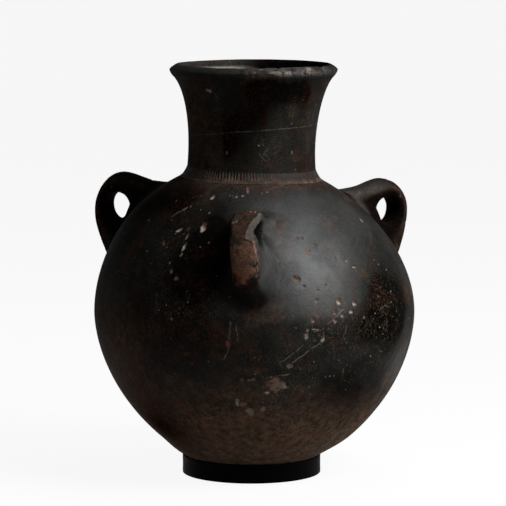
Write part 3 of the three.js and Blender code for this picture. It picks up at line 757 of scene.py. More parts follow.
def clay(name, rubbed):
    """Earthenware, hand-built and fired in smoke: a dull black skin with a broad satin sheen where the burnish has
    lasted, brown where the fire got air, and pale clay in the breaks. Rubbed clay lost its skin to hands and cords."""
    if name in bpy.data.materials:
        return bpy.data.materials[name]
    material, n = new_material(name)
    c = bpy.context.scene.jar_colours
    extra = ("around", "upright", "rubbed") if rubbed else ("around", "upright")
    mask = {key: n.add("Attribute", attribute_name=key)["Fac"] for key in (*MASKS, *extra)}
    place = n.add("TexCoord")["Object"]
    # Clouds of the fire 30 mm across, mottling of 6 mm, grit of 1.3 mm drawn a little coarse so that it shows
    cloudy = n.noise(place, 0.030, 3.0, 0.6)[0]
    mottled = n.noise(place, 0.006, 4.0, 0.65)[0]
    grit = n.noise(place, 0.0013, 2.0, 0.7)[0]
    grain = n.ramp(grit, 0.3, 0.7, 0.5, 1.5)
    skin = n.scaled(c.smoked, n.math('MULTIPLY', n.ramp(cloudy, 0.35, 0.65, 0.55, 1.25), grain))
    # Brown where the fire got air
    brown = n.math('MULTIPLY', mask["bare"], n.ramp(mottled, 0.36, 0.66, 0.15, 1.15), clamp=True)
    skin = n.mix(brown, skin, n.scaled(c.brown, grain))
    # Reddened clouds of 18 mm in the black skin
    ruddy = n.noise(place, 0.018, 5.0, 0.7)[0]
    skin = n.mix(n.ramp(ruddy, 0.52, 0.72, 0.0, 0.12), skin, c.rust)
    # Soot and painted shade from the same mask, thickest in the middle of its clouds
    thick = n.math('MULTIPLY_ADD', mask["soot"], mottled, 0.5, clamp=True)
    skin = n.mix(n.math('MULTIPLY', mask["soot"], thick, clamp=True), skin, c.soot)
    # Iron-rich grit stains the skin in flecks of 1 to 3 mm
    flecks = n.noise(place, 0.0026, 3.0, 0.7, 0.6)[0]
    where = n.math('MULTIPLY_ADD', mask["bare"], 0.7, mask["rust"], clamp=True)
    skin = n.mix(n.math('MULTIPLY', n.ramp(flecks, 0.52, 0.66, 0.0, 0.6), where), skin, c.grit)
    if rubbed:
        patchy = n.math('MULTIPLY', mask["rubbed"], n.ramp(mottled, 0.35, 0.6, 0.6, 1.2), clamp=True)
        skin = n.mix(patchy, skin, n.scaled(c.worn, grain))
        stain = n.math('MULTIPLY', n.ramp(mottled, 0.42, 0.62, 0.0, 0.8), mask["rust"], clamp=True)
        skin = n.mix(stain, skin, c.rust)
    # Scuffs and specks where the skin was knocked
    scuffs = n.math('MULTIPLY', wisps(n, place), mask["scuff"])
    skin = n.mix(scuffs, skin, n.scaled(c.scuffed, grain))
    speck, redness = specks(n, place, n.math('MULTIPLY', mask["scuff"], 0.25))
    skin = n.mix(speck, skin, n.mix(redness, c.chalk, c.rust))

    # Scratches stray by up to 2.5 mm from their straight lines, and by 0.5 mm on the neck
    wander = n.vector('SUBTRACT', n.noise(place, 0.012, 3.0)["Color"], (0.5, 0.5, 0.5))[0]
    flat = n.add("CombineXYZ", {0: mask["around"], 1: mask["upright"]})[0]
    astray, steady = [n.vector('MULTIPLY_ADD', wander, (far, far, 0.0), flat)[0] for far in (0.005, 0.001)]
    lines, red_lines = scratches(n, astray, SCRATCHES)
    neck_lines, _ = scratches(n, steady, NECK_SCRATCHES)
    lines = n.math('MAXIMUM', lines, n.math('MULTIPLY', neck_lines, 0.4))
    lines = n.math('MULTIPLY', lines, n.ramp(mottled, 0.36, 0.60, 0.0, 0.45), clamp=True)
    # Breaks have ragged rims: the mask is torn by the grit. The same pale clay is the painted light on the left of the
    # mouth's inside
    ragged = n.math('MULTIPLY_ADD', grit, 0.6, mask["broken"])
    torn = n.math('MULTIPLY', n.ramp(ragged, 0.36, 0.46), n.math('POWER', mask["broken"], 1.5))
    inside = n.mix(n.math('MAXIMUM', mask["rust"], red_lines), n.scaled(c.broken, grain), c.rust)
    skin = n.mix(n.math('MAXIMUM', torn, lines), skin, inside)

    # The burnish is patchy, and what lost it is dull
    dull = n.math('MULTIPLY_ADD', grit, 0.10, n.ramp(mask["burnish"], 0.0, 1.0, 0.86, 0.45), clamp=True)
    patchy = n.math('MULTIPLY_ADD', grit, 0.9, n.math('MULTIPLY_ADD', mottled, 0.6, 0.2))
    gloss = n.ramp(n.math('MULTIPLY', mask["burnish"], patchy), 0.0, 1.0, 0.0, 0.5)
    ripple = n.math('MULTIPLY_ADD', mottled, 1.5, grit)
    n.surface(skin, dull, 1.5, gloss, ripple, 0.35, 0.0004)
    return material


def smoked_clay():
    return clay("burnished_smoked_earthenware", False)


def worn_clay():
    return clay("rubbed_smoked_earthenware", True)


def ring_paint():
    """Wood turned to a ring and sprayed satin black: an even deep black with a soft gloss and a faint orange peel."""
    material, n = new_material("satin_painted_wood")
    place = n.add("TexCoord")["Object"]
    # Orange peel of 1.5 mm, dust and rubbing of 12 mm
    peel = n.noise(place, 0.0015, 1.0)[0]
    rubbing = n.noise(place, 0.012, 4.0, 0.7)[0]
    paint = n.scaled(bpy.context.scene.jar_colours.paint, n.ramp(rubbing, 0.35, 0.75, 0.7, 2.0))
    satin = n.ramp(rubbing, 0.3, 0.7, 0.42, 0.58)
    n.surface(paint, satin, 1.48, 0.012, peel, 0.12, 0.0002)
    return material


# Share of the card's white that is its own light, so that shadows on it stay faint
OWN_LIGHT = 0.92


def white_card():
    """Matt white card: shows white to the camera and in reflections, and keeps the shadow of the jar."""
    material, n = new_material("matt_white_card")
    c = bpy.context.scene.jar_colours
    fibre = n.noise(n.add("TexCoord")["Object"], 0.004, 3.0)[0]
    bump = n.add("Bump", {"Height": fibre, "Strength": 0.05, "Distance": 0.0002})[0]
    white = n.add("Emission", {"Color": (1, 1, 1, 1), "Strength": 1.0})[0]
    path = n.add("LightPath")
    seen = n.strongest([path[key] for key in ("Is Camera Ray", "Is Glossy Ray", "Is Transmission Ray")])
    card = n.add("BsdfDiffuse", {"Color": n.mix(seen, c.card_bounce, c.card), "Normal": bump})[0]
    share = n.math('MULTIPLY', seen, OWN_LIGHT)
    mixed = n.add("MixShader", {0: share, 1: card, 2: white})[0]
    n.add("OutputMaterial", {"Surface": mixed})
    return material


# ---------------------------------------------------------------- operators, one for each piece

# Rows of each run up and down a piece, and steps around it
BOWL_ROWS, SHOULDER_ROWS, INSIDE_ROWS, BODY_STEPS = 178, 176, 14, 900
BASE_ROWS, GROUND_ROWS, UNDER_NECK_ROWS = 7, 5, 11
NECK_ROWS, NECK_INSIDE_ROWS, NECK_STEPS = 66, 40, 420
LIP_UNDER_ROWS, LIP_BEVEL_ROWS, LIP_TOP_ROWS, LIP_INSIDE_ROWS, LIP_STEPS = 9, 10, 7, 5, 480
BAND_ROWS, STEPS_PER_NOTCH = 14, 9
SEAT_ROWS, WALL_ROWS, BORE_ROWS, FOOT_ROWS, CHAMFER_ROWS, RING_STEPS = 10, 9, 6, 4, 4, 320
FLOOR_ROWS, FLOOR_STEPS = 12, 96
# Depth in metres to which the turned wall of the ring is hollow
RING_HOLLOW = 0.00012


class JAR_OT_bowl(bpy.types.Operator):
    """Lower half of the body, with its flat base"""
    bl_idname = "jar.bowl"
    bl_label = "Lower bowl"

    def execute(self, context):
        s = context.scene.jar_shape
        joint = belly_height(s) - s.scarf / 2
        outer = body_curve(s, 0.0, joint, 0, BOWL_ROWS)
        inner = body_curve(s, joint + s.scarf, s.floor, s.wall, INSIDE_ROWS)
        base = np.stack([np.linspace(0, outer[0, 0], BASE_ROWS + 1)[:-1], np.zeros(BASE_ROWS)], 1)
        ground = np.linspace(inner[-1, 0], 0, GROUND_ROWS + 1)[1:]
        ground = np.stack([ground, np.full(GROUND_ROWS, s.floor)], 1)
        profile = np.concatenate([base, outer, inner, ground])
        outside = np.zeros(len(profile))
        outside[len(base) + 1:len(base) + len(outer)] = 1
        turned_clay(s, "bowl", profile, outside, BODY_STEPS, "lower_bowl", closed=False)
        return {'FINISHED'}


class JAR_OT_shoulder(bpy.types.Operator):
    """Upper half of the body, from the belly to the neck"""
    bl_idname = "jar.shoulder"
    bl_label = "Shoulder"

    def execute(self, context):
        s = context.scene.jar_shape
        joint = belly_height(s) - s.scarf / 2
        bore = s.neck_root - s.neck_wall
        outer = body_curve(s, joint, shoulder_height(s, bore), 0, SHOULDER_ROWS)
        inner = body_curve(s, shoulder_height(s, bore, s.wall), joint + s.scarf + s.slip_gap, s.wall, INSIDE_ROWS)
        profile = np.concatenate([outer, inner])
        outside = np.zeros(len(profile))
        outside[:len(outer) - UNDER_NECK_ROWS] = 1
        turned_clay(s, "shoulder_skin", profile, outside, BODY_STEPS, "shoulder")
        return {'FINISHED'}


class JAR_OT_neck(bpy.types.Operator):
    """Tall flared neck"""
    bl_idname = "jar.neck"
    bl_label = "Neck"

    def execute(self, context):
        s = context.scene.jar_shape
        outer = neck_curve(s, 0, NECK_ROWS)
        inner = neck_curve(s, s.neck_wall, NECK_INSIDE_ROWS)[::-1]
        profile = np.concatenate([outer, inner])
        outside = np.concatenate([np.ones(len(outer)), np.zeros(len(inner))])
        turned_clay(s, "neck_skin", profile, outside, NECK_STEPS, "neck")
        return {'FINISHED'}


class JAR_OT_lip(bpy.types.Operator):
    """Thick bevelled lip, chipped along its front"""
    bl_idname = "jar.lip"
    bl_label = "Lip"

    def execute(self, context):
        s = context.scene.jar_shape
        seat = shoulder_height(s, s.neck_root) + s.neck_height + s.slip_gap
        bore, rim = s.neck_top - s.neck_wall, s.neck_top + s.lip_overhang
        ridge = s.neck_top - s.lip_crest_inset
        edge, crest = seat + s.lip_edge_rise, seat + s.lip_crest_rise
        # From the seat out to the edge, over the bevel and the rounded crest, and down inside
        foot, turn = (s.neck_top, seat - s.slip_gap), (ridge + 0.001, crest - 0.0005)
        start = np.array([(bore, seat), foot])
        under = bend(foot, (rim - 0.0006, edge - 0.003), (rim, edge), LIP_UNDER_ROWS)
        bevel = bend((rim, edge), (rim - 0.0005, edge + 0.0022), turn, LIP_BEVEL_ROWS)
        top = bend(turn, (ridge - 0.001, crest + 0.0005), (bore + 0.0012, crest - 0.0035), LIP_TOP_ROWS)
        inner = np.linspace(top[-1], (bore, seat), LIP_INSIDE_ROWS)[1:-1]
        profile = np.concatenate([start, under, bevel, top, inner])
        outside = np.ones(len(profile))
        # The seat and the lowest rows inside stay smooth
        outside[[0, -1, -2]] = 0

        def chips(skin, points):
            front = sector(skin.azimuth, 34, 40)
            lost = smoothstep(clouds(points, *LIP_LOSS), 0.48, 0.58) * front
            nick = smoothstep(clouds(points * np.array([1, 1, 0.4]), *LIP_NICK), 0.56, 0.64) * front
            over = smoothstep(skin.height, edge - 0.0066, edge - 0.0015)
            skin.broken = np.maximum(skin.broken, 0.45 * np.maximum(lost * 0.4, nick) * over)
            skin.soot = skin.soot * (1 - over * (0.4 + 0.5 * front))
            skin.bare = skin.bare * (1 - 0.8 * over)
            facet = smoothstep(clouds(points, *LIP_FACET), 0.40, 0.58)
            # Behind, the inner side of the lip is seen: painted shade at the right, drawn black, and painted light at
            # the left, drawn paler
            far = smoothstep(np.abs(skin.azimuth), 70, 105)
            shade_share = mouth_shade(skin.azimuth) * far
            pale = (1 - mouth_shade(skin.azimuth)) * far * smoothstep(ridge - skin.radius, -0.001, 0.001)
            skin.soot = np.maximum(skin.soot * (1 - pale), shade_share)
            skin.broken = np.maximum(skin.broken * (1 - pale), 0.12 * pale)
            skin.rust = skin.rust * (1 - pale)
            skin.burnish = (skin.burnish * (1 - over) + over * (0.15 + 0.65 * front * facet)) * (1 - shade_share)
            return -(LOSS_DEPTH * lost + NICK_DEPTH * nick + WAVE_DEPTH * clouds(points, *LIP_WAVE)) * over
        turned_clay(s, "lip", profile, outside, LIP_STEPS, "rim_coil", extra=chips)
        return {'FINISHED'}


class JAR_OT_band(bpy.types.Operator):
    """Band of clay in the corner of neck and shoulder, with a row of tool notches"""
    bl_idname = "jar.band"
    bl_label = "Notched band"

    def execute(self, context):
        s = context.scene.jar_shape
        inner, outer = s.neck_root + s.slip_gap * 0.5, s.neck_root + s.band_width
        low_in, low_out = shoulder_height(s, inner), shoulder_height(s, outer)
        top = low_in + s.band_height
        neck = neck_curve(s, 0, 80)  # fine enough to read a radius from
        upper = np.interp(top, neck[:, 1], neck[:, 0])
        face = bend((outer, low_out), (inner + 0.0014, low_out + 0.0030), (upper - 0.0002, top), BAND_ROWS)
        under = [(inner, low_in - 0.0004), (outer - 0.001, low_out - 0.0004), (outer, low_out)]
        profile = np.concatenate([under, face, [(upper - 0.001, top)]])
        outside = np.concatenate([[0, 0, 0.3], np.ones(len(face)), [0.4]])
        share = np.concatenate([[0, 0, 0], np.linspace(0, 1, len(face)), [0.6]])[:, None]

        def notched(skin, points):
            turns = (skin.azimuth / 360) * s.notches
            number = np.stack([np.floor(turns).astype(np.int64)] * 3, -1)
            wobble = (lattice(number, BAND_WOBBLE) - 0.5) * 0.25
            phase = turns - np.floor(turns) - 0.5 + wobble + (share - 0.5) * 0.25
            each = lattice(number, BAND_BITE)
            clear = sector(skin.azimuth, -28, 34) + 0.45 * smoothstep(np.abs(skin.azimuth), 70, 110)
            clear = np.clip(clear, 0.15, 1)
            bite = np.exp(-(phase / 0.20) ** 2) * smoothstep(share, 0.15, 0.6) * clear * (0.55 + 0.6 * each)
            # Painted shade: the notches are drawn black
            skin.soot = np.clip(0.15 + 1.1 * bite, 0, 1)
            right = smoothstep(skin.azimuth, 10, 30)
            plain = (1 - smoothstep(share, 0.5 - 0.3 * right, 0.95 - 0.4 * right)) * (1 - bite)
            plain = plain * smoothstep(skin.azimuth, -62, -30) * (1 - 0.4 * sector(skin.azimuth, 4, 12))
            skin.bare = 0.45 * plain + 0.1
            skin.broken = (0.06 + 0.14 * smoothstep(clouds(points, *BAND_CRUMBS), 0.45, 0.65)) * plain
            skin.rust = 0.15 + 0 * skin.azimuth
            skin.burnish = 0.4 + 0 * skin.azimuth
            return -bite * s.notch_depth
        steps = s.notches * STEPS_PER_NOTCH
        turned_clay(s, "notched_band", profile, outside, steps, "neck_fillet", extra=notched)
        return {'FINISHED'}


# Each lug: azimuth and yaw in degrees; then in metres its crown over the belly, stand-off from it and drop of the
# bulge, thickness of the strap and of the crown, width and height of the opening
LUGS = {
    "front_lug": (0, -8, 0.1015, 0.0120, 0.032, 0.0088, 0.0110, 0.0252, 0.0125),
    "left_lug": (-118, 1, 0.1158, 0.0173, 0.038, 0.0118, 0.0187, 0.0216, 0.0224),
    "right_lug": (123, 1, 0.1091, 0.0193, 0.029, 0.0126, 0.0174, 0.0192, 0.0206),
}

# Steps along a strap and along the line between its roots, and around its section
STRAP_STEPS, ROOT_STEPS, STRAP_SIDES = 190, 26, 72
# Points drawn in each span of a strap's outer line before they are spread evenly
SPAN_POINTS = 60
# How far down a lug its lower strap is drawn, as a share of the lug, and how far down its brow, as one of the bulge
LOWER_SHARE, BROW_SHARE = 0.78, 0.36
# Rough length, half width and half thickness of the front strap in metres, for the noise of its broken edge
STRAP_SIZE = np.array([0.16, 0.0125, 0.008])
# The right edge of the front strap that broke away: the share of the way along, and the share of its half width
EDGE_ALONG = (0.20, 0.28, 0.40, 0.475, 0.505, 0.56, 0.62, 0.68, 0.74)
EDGE_LOST = (0, 0.10, 0.20, 0.40, 0.90, 0.82, 0.52, 0.2, 0)
# Angles in degrees round an opening at which the line between the roots starts and ends
SEAM_FROM, SEAM_TO = 173, 185


def smooth_line(corners, count):
    """Evenly spaced points of a centripetal curve through the corners."""
    corners = np.array(corners, float)
    p = np.concatenate([[2 * corners[0] - corners[1]], corners, [2 * corners[-1] - corners[-2]]])
    run = []
    for a, b, c, d in zip(p[:-3], p[1:-2], p[2:-1], p[3:]):
        k1, k2, k3 = (max(np.linalg.norm(v), 1e-9) ** 0.5 for v in (b - a, c - b, d - c))
        m1 = (b - a) / k1 - (c - a) / (k1 + k2) + (c - b) / k2
        m2 = (c - b) / k2 - (d - b) / (k2 + k3) + (d - c) / k3
        t = np.linspace(0, 1, SPAN_POINTS, endpoint=False)[:, None]
        run.append((2 * t ** 3 - 3 * t ** 2 + 1) * b + (t ** 3 - 2 * t ** 2 + t) * m1 * k2
                   + (3 * t ** 2 - 2 * t ** 3) * c + (t ** 3 - t ** 2) * m2 * k2)
    run = np.concatenate(run + [corners[-1:]])
    walked = np.concatenate([[0], np.cumsum(np.linalg.norm(np.diff(run, axis=0), axis=1))])
    even = np.linspace(0, walked[-1], count)
    return np.stack([np.interp(even, walked, run[:, i]) for i in range(2)], 1)


def strap_lines(s, lug, rise, stand_off, drop, strap, thick, wide, tall):
    """Outer line of a lug and the oval round its opening, both closed, as radius and height; the share of the way
    along the strap, which is 0 at the foot and 1 at the upper root and runs back to 0 through the body."""
    top, reach = belly_height(s) + rise, s.belly_radius + stand_off
    foot, crown = top - lug.height, reach - lug.crown_inset
    root = float(body_radius(s, top - lug.root_drop, lug.root_sink))
    outer = smooth_line([
        (float(body_radius(s, foot, lug.root_sink)), foot), (reach - lug.foot_inset, top - lug.height * LOWER_SHARE),
        (reach, top - drop), (reach - lug.brow_inset, top - drop * BROW_SHARE), (crown, top),
        ((crown + root) / 2, top - lug.back_drop), (root, top - lug.root_drop)], STRAP_STEPS + 1)
    back = np.linspace(top - lug.root_drop, foot, ROOT_STEPS + 1)[1:-1]
    depth = lug.root_sink + lug.seam_sink * np.sin(np.linspace(0, np.pi, ROOT_STEPS + 1)[1:-1])
    outer = np.concatenate([outer, np.stack([body_radius(s, back, depth), back], 1)])
    turn = np.radians(np.concatenate([np.linspace(SEAM_TO - 360, SEAM_FROM, STRAP_STEPS + 1),
                                      np.linspace(SEAM_FROM, SEAM_TO, ROOT_STEPS + 1)[1:-1]]))
    middle = reach - strap - wide / 2
    height = top - thick - tall / 2
    inner = np.stack([middle + wide / 2 * np.cos(turn), height + tall / 2 * np.sin(turn)], 1)
    along = np.concatenate([np.linspace(0, 1, STRAP_STEPS + 1), np.linspace(1, 0, ROOT_STEPS + 1)[1:-1]])
    return outer, inner, along


def above_body(s, points):
    """Height of points over the outer skin of the body, and the way out of it."""
    z = points[..., 2]
    x = points[..., 0] - axis_at(s, z)
    z = z + x * tilt_at(s, z)
    y = points[..., 1]
    r = np.maximum(np.hypot(x, y), 1e-6)
    rise = z - belly_height(s)
    power = np.where(rise < 0, s.bowl_fullness, s.shoulder_fullness)
    half = np.where(rise < 0, s.bowl_depth, s.shoulder_rise)
    u, v = r / s.belly_radius, np.abs(rise) / half
    size = (u ** power + v ** power) ** (1 / power)
    du = (u / size) ** (power - 1) / s.belly_radius
    dv = np.sign(rise) * (v / size) ** (power - 1) / half
    steep = np.hypot(du, dv)
    away = np.stack([x / r * du, y / r * du, dv], -1) / steep[..., None]
    return (size - 1) / steep, away


def chipped(along, u, v):
    """Section of the front lug with its right edge broken away, most of all beside the opening, and with more lost
    outside than inside; also gives how much is lost."""
    ragged = clouds(np.stack([along, u, v], -1) * STRAP_SIZE, *STRAP_EDGE) - 0.5
    cut = np.interp(along + ragged * 0.03, EDGE_ALONG, EDGE_LOST)
    edge = cut * (0.35 + 0.65 * smoothstep(v, -1, 1)) + ragged * 0.15 * smoothstep(cut, 0, 0.1) - 1
    lost = np.clip(edge - u, 0, None)
    return u + lost, v, lost


class JAR_OT_lugs(bpy.types.Operator):
    """The three strap lugs, smoothed into the shoulder at their roots"""
    bl_idname = "jar.lugs"
    bl_label = "Strap lugs"

    def strap(self, s, lug, place, worn):
        """Points of one strap around the jar's axis, with how far each is along and around the strap."""
        azimuth, yaw, *sizes = place
        outer, inner, along = strap_lines(s, lug, *sizes)
        along = along[:, None]
        turn = np.linspace(0, 2 * np.pi, STRAP_SIDES, endpoint=False)[None, :]
        u, v = (np.sign(way) * np.abs(way) ** (2 / lug.roundness) + 0 * along
                for way in (np.cos(turn), np.sin(turn)))
        along = along + 0 * turn
        seen = SimpleNamespace(along=along, u=u, v=v, lost=0 * u)
        if worn:
            u, v, seen.lost = chipped(along, u, v)
        middle, half = (outer + inner) / 2, (outer - inner) / 2
        plane = middle[:, None, :] + half[:, None, :] * v[..., None]
        x, z = plane[..., 0], plane[..., 1]
        flare = np.clip(1 - (x - body_radius(s, z)) / lug.flare_rise, 0, 1) ** 2
        y = -u * lug.width / 2 * (1 + lug.widening * flare)
        pivot = s.belly_radius - lug.pivot_inset
        x, y = rotated(x - pivot, y, yaw)
        x, y = rotated(x + pivot, y, azimuth - 90)
        return np.stack([x, y, z], -1), seen

    def blended(self, s, lug, points):
        """Draws the strap outwards into a thumbed corner where it meets the skin of the body."""
        gap, away = above_body(s, points)
        gap = gap - weathering(s, points).relief
        down = np.roll(points, -1, 0) - np.roll(points, 1, 0)
        around = np.roll(points, -1, 1) - np.roll(points, 1, 1)
        normal = unit(np.cross(around, down))
        sideways = normal - (normal * away).sum(-1, keepdims=True) * away
        k = lug.blend
        near = np.clip(gap, 0, k)
        grow = k - np.sqrt(np.maximum(k * k - (k - near) ** 2, 0)) + 2 * np.clip(-gap, 0, 0.002)
        return points + sideways * grow[..., None], gap, normal

    def worn_masks(self, masks, seen, lumps, fine):
        """Front lug: a rubbed face, a mottled crown, pale clay beside the opening, painted shade in the opening and on
        its left side, and black at the foot.
        """
        along, u, v = seen.along, seen.u, seen.v
        ragged = along + (fine - 0.5) * 0.2 + (lumps - 0.5) * 0.1
        front = smoothstep(v, 0.05, 0.45)
        broken_edge = smoothstep(seen.lost + (fine - 0.5) * 0.25, 0.05, 0.16)
        chip = broken_edge * smoothstep(along, 0.465, 0.485)
        pitted = np.maximum(broken_edge, smoothstep(-u, 0.15, 0.55) * front * smoothstep(along, 0.16, 0.20)
                            * smoothstep(fine, 0.40, 0.50)) * (1 - smoothstep(along, 0.33, 0.39))
        face = front * smoothstep(ragged, 0.21, 0.27) * (1 - chip)
        face = face * (1 - smoothstep(ragged + 0.05 * u, 0.46, 0.52))
        crown = front * smoothstep(ragged, 0.47, 0.55) * (1 - smoothstep(along, 0.72, 0.85)) * (1 - chip)
        masks["rubbed"] = np.clip(face * (0.75 + 0.5 * lumps), 0, 1) * (1 - 0.95 * pitted)
        crumbs = np.maximum(0.35 * crown * smoothstep(fine, 0.56, 0.68), pitted * smoothstep(fine, 0.56, 0.66) * 0.35)
        masks["broken"] = np.maximum(chip * (0.20 + 0.16 * lumps + 0.08 * fine), crumbs)
        streak = np.exp(-((along - 0.265) / 0.05) ** 2 - ((u - 0.25) / 0.45) ** 2)
        rust = 0.2 * crown * smoothstep(lumps, 0.4, 0.6) + 0.25 * pitted + front * streak
        masks["rust"] = np.clip(rust, 0, 1) * (1 - chip)
        # Painted shade: the inside of the opening is drawn black
        inside = smoothstep(-v, 0.6, 0.9) * (1 - chip)
        # Painted shade on the strap's left side, away from the lamps, which is also a little brown
        shade_side = smoothstep(u, 0.75, 0.95) * smoothstep(along, 0.1, 0.2)
        # Black at the foot of the face
        low = front * (1 - smoothstep(ragged, 0.20, 0.26))
        masks["soot"] = np.clip(inside + 0.9 * shade_side + low + 0.6 * crown + 0.6 * pitted, 0, 1) * (1 - chip)
        masks["bare"] = 0.4 * crown + 0.3 * shade_side
        masks["burnish"] = 0.6 * smoothstep(-u, 0.8, 0.95) * (1 - inside) * (1 - chip) * (1 - pitted) + 0.1
        masks["scuff"] = 0.6 * crown + 0.4 * pitted

    def execute(self, context):
        s, lug = context.scene.jar_shape, context.scene.lug_shape
        for node, place in LUGS.items():
            worn = node == "front_lug"
            points, seen = self.strap(s, lug, place, worn)
            points, gap, normal = self.blended(s, lug, points)
            lumps, fine = clouds(points, *STRAP_LUMPS), clouds(points, *STRAP_FINE)
            lift = (lumps - 0.9) * STRAP_LUMP - smoothstep(fine, 0.62, 0.75) * STRAP_PIT
            points = points + normal * lift[..., None]
            masks = masks_of(weathering(s, points), np.ones_like(lumps))
            skin = dict(masks)
            if worn:
                self.worn_masks(masks, seen, lumps, fine)
                material, slot = worn_clay(), "worn_clay"
            else:
                edge = smoothstep(np.abs(seen.u), 0.75, 0.98) * smoothstep(seen.v, -0.2, 0.3)
                masks["bare"] = np.clip(0.15 + 0.5 * edge * smoothstep(lumps, 0.4, 0.6), 0, 1)
                # Painted light: the upper strap of the right lug, where the lamps light it, is drawn less black and
                # gets more burnish
                painted_light = smoothstep(seen.along, 0.60, 0.80) * smoothstep(seen.v, -0.3, 0.3) * (place[0] > 0)
                # Black clay, with painted shade on the strap's inner side
                masks["soot"] = np.clip(0.9 + 0.3 * smoothstep(-seen.v, 0.0, 0.6) - 0.35 * edge - 0.6 * painted_light, 0, 1)
                masks["burnish"] = 0.03 + 0.5 * painted_light
                material, slot = smoked_clay(), "burnished_clay"
            # At its roots a lug takes on the skin of the body
            away = smoothstep(gap + (fine - 0.5) * 0.006, 0.0005, 0.008)
            for key in MASKS:
                masks[key] = skin[key] + (masks[key] - skin[key]) * away
            faces = grid_faces(*lumps.shape, True)[:, ::-1]
            make_piece(node + "_strap", into_frame(s, points), faces, masks, material, node, "jar")
        return {'FINISHED'}


class JAR_OT_ring(bpy.types.Operator):
    """Loose ring stand, with a seat that follows the bowl"""
    bl_idname = "jar.ring"
    bl_label = "Ring stand"

    def execute(self, context):
        s = context.scene.jar_shape
        bore, c = s.ring_radius - s.ring_wall, s.ring_chamfer
        seat = np.linspace(s.ring_radius - s.ring_land, bore + c, SEAT_ROWS)
        seat = np.stack([seat, np.minimum(s.ring_height, bowl_height(s, seat, -s.seat_gap) + jar_lift(s))], 1)
        wall = np.linspace((s.ring_radius, c), (s.ring_radius, s.ring_height - c), WALL_ROWS)
        wall[1:-1, 0] -= RING_HOLLOW * np.sin(np.linspace(0, np.pi, WALL_ROWS - 2))
        low = bend((s.ring_radius - c, 0), (s.ring_radius, 0), (s.ring_radius, c), CHAMFER_ROWS)
        high = bend((s.ring_radius, s.ring_height - c), (s.ring_radius, s.ring_height),
                    (s.ring_radius - c, s.ring_height), CHAMFER_ROWS)
        inside = np.linspace((bore, seat[-1, 1] - c), (bore, c), BORE_ROWS)
        foot = np.linspace((bore + c, 0), (s.ring_radius - c, 0), FOOT_ROWS)
        profile = np.concatenate([foot, low, wall[1:], high, seat, inside])
        points = turned(profile, RING_STEPS) + np.array([s.axis_at_seat, FRONT_SHIFT, 0])
        faces = grid_faces(len(profile), RING_STEPS, True)
        make_piece("ring", points, faces, {}, ring_paint(), "ring_stand", "ring")
        return {'FINISHED'}


# Lamps: name, place, aim, width and height, the setting that holds the power, and the tint
LAMPS = (
    ("key", (1.02, -0.70, 1.245), (0, 0, 0.2), (0.9, 0.9), "key_power", (0.98, 0.99, 1.0)),
    ("low", (1.25, -0.15, 0.12), (0, 0, 0.12), (0.6, 0.3), "low_power", (1.0, 0.98, 0.95)),
    ("top", (0.35, 0.25, 1.75), (0, 0, 0.3), (0.9, 0.7), "top_power", (0.93, 0.97, 1.0)),
)
ROOM_TINT = (0.94, 0.97, 1.0, 1.0)
# Width of the camera's frame in mm, and how far it sees in metres
SENSOR_MM, FAR_CLIP = 36.0, 50.0
# The floor in metres: where it starts to curve up, the corner of the curve, and its top
FLOOR_FLAT, FLOOR_CORNER, FLOOR_TOP = (4.0, 0), (5.2, 0), (5.4, 1.3)


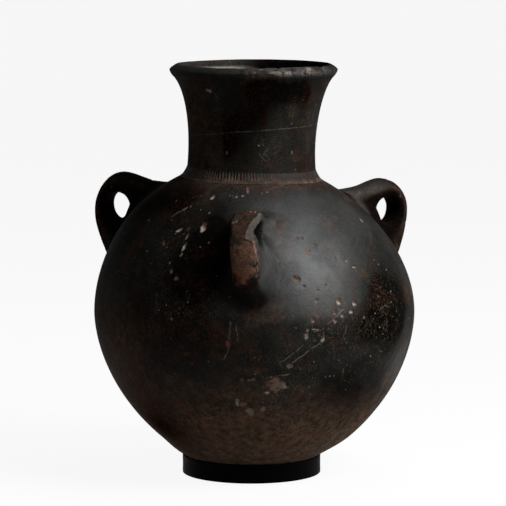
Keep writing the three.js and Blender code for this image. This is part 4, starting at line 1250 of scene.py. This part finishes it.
class JAR_OT_stage(bpy.types.Operator):
    """Pale floor that curves up behind, soft lamps and the camera"""
    bl_idname = "jar.stage"
    bl_label = "Stage"

    def aimed(self, name, data, place, aim):
        """A lamp or camera at a place, turned to what it looks at."""
        made = new_object(name, data)
        made.location = place
        made.rotation_euler = (Vector(aim) - Vector(place)).to_track_quat('-Z', 'Y').to_euler()
        return made

    def execute(self, context):
        scene, g = context.scene, context.scene.jar_stage
        run = np.concatenate([[(0.001, 0)], np.linspace((0.3, 0), FLOOR_FLAT, FLOOR_ROWS),
                              bend(FLOOR_FLAT, FLOOR_CORNER, FLOOR_TOP, FLOOR_ROWS)])
        faces = grid_faces(len(run), FLOOR_STEPS, False)[:, ::-1]
        floor = new_object("floor", new_mesh("floor", turned(run, FLOOR_STEPS), faces, white_card()))

        for name, place, aim, size, power, tint in LAMPS:
            data = bpy.data.lights.new(name, 'AREA')
            data.shape, data.energy, data.color = 'RECTANGLE', getattr(g, power), tint
            data.size, data.size_y = size
            self.aimed(name, data, place, aim)
        world = bpy.data.worlds.new("dim_room")
        scene.world = world
        world.use_nodes = True
        background = world.node_tree.nodes["Background"].inputs
        background[0].default_value, background[1].default_value = ROOM_TINT, g.room
        scene.view_settings.view_transform = 'Standard'

        data = bpy.data.cameras.new("camera")
        data.lens, data.sensor_width, data.clip_end = g.lens, SENSOR_MM, FAR_CLIP
        eye = (g.aside, FRONT_SHIFT - g.distance, g.eye_height)
        scene.camera = self.aimed("camera", data, eye, (g.aside, FRONT_SHIFT, g.aim_height))
        return {'FINISHED'}


class JAR_PT_panel(bpy.types.Panel):
    """Lists the pieces in the order in which they are made"""
    bl_idname = "JAR_PT_panel"
    bl_label = "Three-lugged jar"
    bl_space_type = 'VIEW_3D'
    bl_region_type = 'UI'
    bl_category = "Jar"

    def draw(self, context):
        for operator in PIECES:
            self.layout.operator(operator.bl_idname)


PIECES = (JAR_OT_ring, JAR_OT_bowl, JAR_OT_shoulder, JAR_OT_neck, JAR_OT_band, JAR_OT_lip, JAR_OT_lugs, JAR_OT_stage)
CLASSES = (JarShape, LugShape, JarColours, StageSettings, *PIECES, JAR_PT_panel)


def register():
    for each in CLASSES:
        bpy.utils.register_class(each)
    bpy.types.Scene.jar_shape = PointerProperty(type=JarShape)
    bpy.types.Scene.lug_shape = PointerProperty(type=LugShape)
    bpy.types.Scene.jar_colours = PointerProperty(type=JarColours)
    bpy.types.Scene.jar_stage = PointerProperty(type=StageSettings)


def unregister():
    for name in ("jar_shape", "lug_shape", "jar_colours", "jar_stage"):
        delattr(bpy.types.Scene, name)
    for each in reversed(CLASSES):
        bpy.utils.unregister_class(each)


def main():
    register()
    bpy.ops.jar.ring()
    bpy.ops.jar.bowl()
    bpy.ops.jar.shoulder()
    bpy.ops.jar.neck()
    bpy.ops.jar.band()
    bpy.ops.jar.lip()
    bpy.ops.jar.lugs()
    bpy.ops.jar.stage()


if __name__ == "__main__":
    main()
